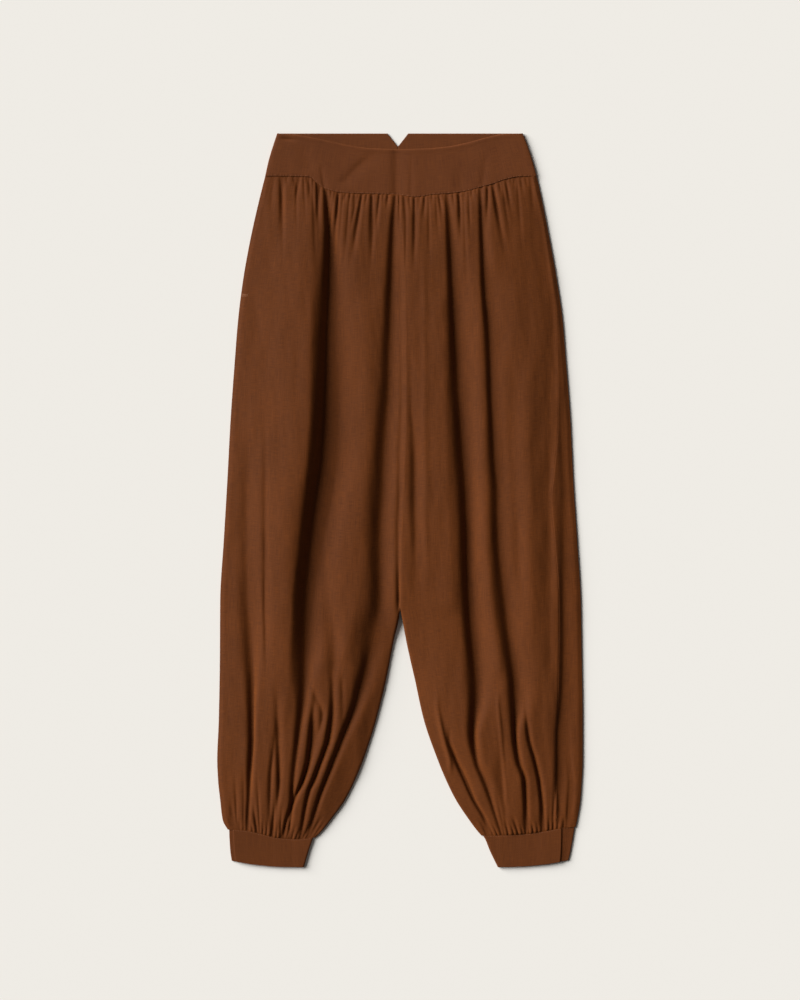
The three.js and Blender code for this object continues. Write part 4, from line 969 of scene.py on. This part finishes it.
def pocketBag(side):
    below = np.linspace(0, pocket["below"][-1], pocket["rows"])[:, None]
    share = np.linspace(0, 1, pocket["columns"])[None, :]
    y = pocket["top"] - below + 0 * share
    reach = curveOf(pocket["below"], pocket["reach"])(below)
    x = outerAt[side](y) - signOf[side] * (pocket["inset"] + reach * share)
    mid = np.stack([x, y, pocket["level"] + 0 * y], axis=-1)
    return clothWall("pocket" + side.title(), mid, -signOf[side], pocket["half"], pocket["half"],
                     mid[..., :2] + pocket["threadShift"], clothMaterial, uprightRims)


made = {}
for side in ("left", "right"):
    made["front_" + side] = frontPanel(side)
    made["back_" + side] = backPanel(side)
    made["pocket_" + side] = pocketBag(side)
    made["cuff_" + side] = cuff(side)
    made["waistband_back_" + side] = backBand(side)
    print(f"{side} leg ready at {time.time() - startTime:.1f} s")
made["waistband_front"] = frontBand()

# Sewing: lockstitches along the front waistband and the cuffs, and the bar tack at the left pocket's end.
# Real stitches are 2.6 mm long and lie in the ditch of the seam.
sewing = {
    "stitch": 2.6,
    "gap": 0.9,
    "thickness": 0.34,  # mm, sewing thread is 0.25
    "sink": 0.05,
    "wander": 0.12,  # radians, how much a stitch turns off its line
    "seed": 5,
    "tackX": (-221.6, -213.2),
    "tackY": 287,
    "tackPitch": 0.55,
    "tackWidth": 1.9,
    "waistX": (-184.0, 186.0),
    "cuffInset": 5,  # from the ends of a cuff's seam
    "pitch": 2,  # of the points along a seam
    "fromSeam": 0.9,
}


# A path on the outer face of a finished piece, in millimetres
def seamPath(piece, xs, ys):
    path = []
    for x, y in zip(xs, ys):
        hit, place, _, _ = piece.ray_cast(Vector((x * mm, y * mm, 0.2)), Vector((0, 0, -1)))
        if hit:
            path.append((x, y, place.z / mm - sewing["sink"]))
    return path


waistX = np.arange(*sewing["waistX"], sewing["pitch"])
paths = {"waistSeam": seamPath(made["waistband_front"], waistX, waistSeamAt(waistX) + sewing["fromSeam"])}
for side in ("left", "right"):
    seamX, inset = cuffTables[side]["seamX"], sewing["cuffInset"]
    cuffX = np.arange(seamX[0] + inset, seamX[-1] - inset, sewing["pitch"])
    cuffY = cuffSeamAt[side](cuffX) - sewing["fromSeam"]
    paths["cuffSeam" + side.title()] = seamPath(made["cuff_" + side], cuffX, cuffY)
tackX = np.arange(*sewing["tackX"], sewing["tackPitch"])
zigzag = sewing["tackY"] + sewing["tackWidth"] / 2 * np.where(np.arange(len(tackX)) % 2, 1, -1)
paths["pocketTack"] = seamPath(made["front_left"], tackX, zigzag)


# Stitches along a polyline, each turned to run along it: evenly spaced, or one at each corner
def stitchTree(onCorners):
    tree = bpy.data.node_groups.new("stitchesAlongPath", "GeometryNodeTree")
    tree.is_modifier = True
    for name, kind in (("Geometry", "Geometry"), ("Stitch Length", "Float"), ("Spacing", "Float"),
                       ("Thickness", "Float"), ("Wander", "Float"), ("Seed", "Int"), ("Thread", "Material")):
        tree.interface.new_socket(name, in_out="INPUT", socket_type="NodeSocket" + kind)
    tree.interface.new_socket("Geometry", in_out="OUTPUT", socket_type="NodeSocketGeometry")
    given = addNode(tree, "NodeGroupInput").outputs
    curve = addNode(tree, "GeometryNodeMeshToCurve", links={"Mesh": given["Geometry"]}).outputs["Curve"]
    spacing = {} if onCorners else {"Length": given["Spacing"]}
    stops = addNode(tree, "GeometryNodeCurveToPoints", links={"Curve": curve, **spacing},
                    mode="EVALUATED" if onCorners else "LENGTH")
    along = addNode(tree, "FunctionNodeAlignRotationToVector", links={"Vector": stops.outputs["Tangent"]},
                    axis="Z")
    turn = addNode(tree, "FunctionNodeRandomValue", links={"Max": given["Wander"], "Seed": given["Seed"]},
                   data_type="FLOAT")
    tilt = addNode(tree, "ShaderNodeCombineXYZ", links={"X": turn.outputs[1]})
    turned = addNode(tree, "FunctionNodeRotateRotation", links={
        "Rotation": along.outputs["Rotation"], "Rotate By": tilt.outputs["Vector"]}, rotation_space="LOCAL")
    ball = addNode(tree, "GeometryNodeMeshUVSphere", {"Segments": 8, "Rings": 6, "Radius": 0.5})
    size = addNode(tree, "ShaderNodeCombineXYZ", links={
        "X": given["Thickness"], "Y": given["Thickness"], "Z": given["Stitch Length"]})
    shaped = addNode(tree, "GeometryNodeTransform", links={
        "Geometry": ball.outputs["Mesh"], "Scale": size.outputs["Vector"]})
    placed = addNode(tree, "GeometryNodeInstanceOnPoints", links={
        "Points": stops.outputs["Points"], "Instance": shaped.outputs["Geometry"],
        "Rotation": turned.outputs["Rotation"]})
    real = addNode(tree, "GeometryNodeRealizeInstances", links={"Geometry": placed.outputs["Instances"]})
    smooth = addNode(tree, "GeometryNodeSetShadeSmooth", links={"Geometry": real.outputs["Geometry"]})
    dyed = addNode(tree, "GeometryNodeSetMaterial", links={
        "Geometry": smooth.outputs["Geometry"], "Material": given["Thread"]})
    addNode(tree, "NodeGroupOutput", links={"Geometry": dyed.outputs["Geometry"]})
    return tree


def sewAlong(name, path, material, length, spacing, onCorners=False):
    line = bpy.data.meshes.new(name + "Path")
    line.from_pydata([tuple(c * mm for c in point) for point in path],
                     [(i, i + 1) for i in range(len(path) - 1)], [])
    guide = placeObject(name + "Path", line)
    modifier = guide.modifiers.new("stitches", "NODES")
    modifier.node_group = stitchTree(onCorners)
    values = {"Stitch Length": length * mm, "Spacing": spacing * mm, "Thickness": sewing["thickness"] * mm,
              "Wander": sewing["wander"], "Seed": sewing["seed"], "Thread": material}
    for item in modifier.node_group.interface.items_tree:
        if item.name in values:
            modifier[item.identifier] = values[item.name]
    graph = bpy.context.evaluated_depsgraph_get()
    mesh = bpy.data.meshes.new_from_object(guide.evaluated_get(graph))
    bpy.data.objects.remove(guide)
    return placeObject(name, mesh)


sewn = {}
for name, path in paths.items():
    if name == "pocketTack":
        sewn[name] = sewAlong(name, path, tackThreadPaintedHighlight, sewing["tackWidth"], 1.0, onCorners=True)
    else:
        sewn[name] = sewAlong(name, path, seamThread, sewing["stitch"], sewing["stitch"] + sewing["gap"])
    print(f"{name}: {len(sewn[name].data.polygons)} faces")

# Every piece and every line of stitches hangs from the root body, and the model's part of the same name is
# hidden
for node, piece in made.items():
    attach(piece, "root")
    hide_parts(node)
for piece in sewn.values():
    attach(piece, "root")

# Floor, light and camera
stage = {
    "floor": "#e7e4de",
    "floorHalf": 9,  # metres
    "sunAzimuth": 153,
    "sunElevation": 30,
    "sunAngle": 44,
    "sunStrength": 6.1,
    "sunDistance": 3,
    "fill": "#f4f1ec",
    "fillStrength": 0.12,
    "lens": 100,
    "cameraPlace": (0, 0.00035, 3.895),
}
half = stage["floorHalf"]
floorCorners = [(-half, -half, 0), (half, -half, 0), (half, half, 0), (-half, half, 0)]
floorMesh = bpy.data.meshes.new("floor")
floorMesh.from_pydata(floorCorners, [], [(0, 1, 2, 3)])
floorMaterial, _, floorShader = newMaterial("seamlessPaper")
floorShader.inputs["Base Color"].default_value = linear(stage["floor"])
floorShader.inputs["Roughness"].default_value = 1.0
floorShader.inputs["Specular IOR Level"].default_value = 0.0
floorMesh.materials.append(floorMaterial)
placeObject("floor", floorMesh)

sunLight = bpy.data.lights.new("softKey", "SUN")
sunLight.energy = stage["sunStrength"]
sunLight.angle = math.radians(stage["sunAngle"])
azimuth, elevation = math.radians(stage["sunAzimuth"]), math.radians(stage["sunElevation"])
toSun = Vector((math.cos(elevation) * math.cos(azimuth), math.cos(elevation) * math.sin(azimuth),
                math.sin(elevation)))
sun = placeObject("softKey", sunLight)
sun.rotation_euler = (-toSun).to_track_quat("-Z", "Y").to_euler()
sun.location = toSun * stage["sunDistance"]

world = bpy.data.worlds.new("paleRoom")
world.use_nodes = True
world.node_tree.nodes["Background"].inputs["Color"].default_value = linear(stage["fill"])
world.node_tree.nodes["Background"].inputs["Strength"].default_value = stage["fillStrength"]
bpy.context.scene.world = world
bpy.context.scene.view_settings.view_transform = "Standard"

cameraData = bpy.data.cameras.new("photoCamera")
cameraData.lens = stage["lens"]
camera = placeObject("photoCamera", cameraData)
camera.location = stage["cameraPlace"]
bpy.context.scene.camera = camera

triangles = sum(len(piece.data.polygons) * 2 for piece in made.values())
print(f"{triangles} triangles at {time.time() - startTime:.1f} s")
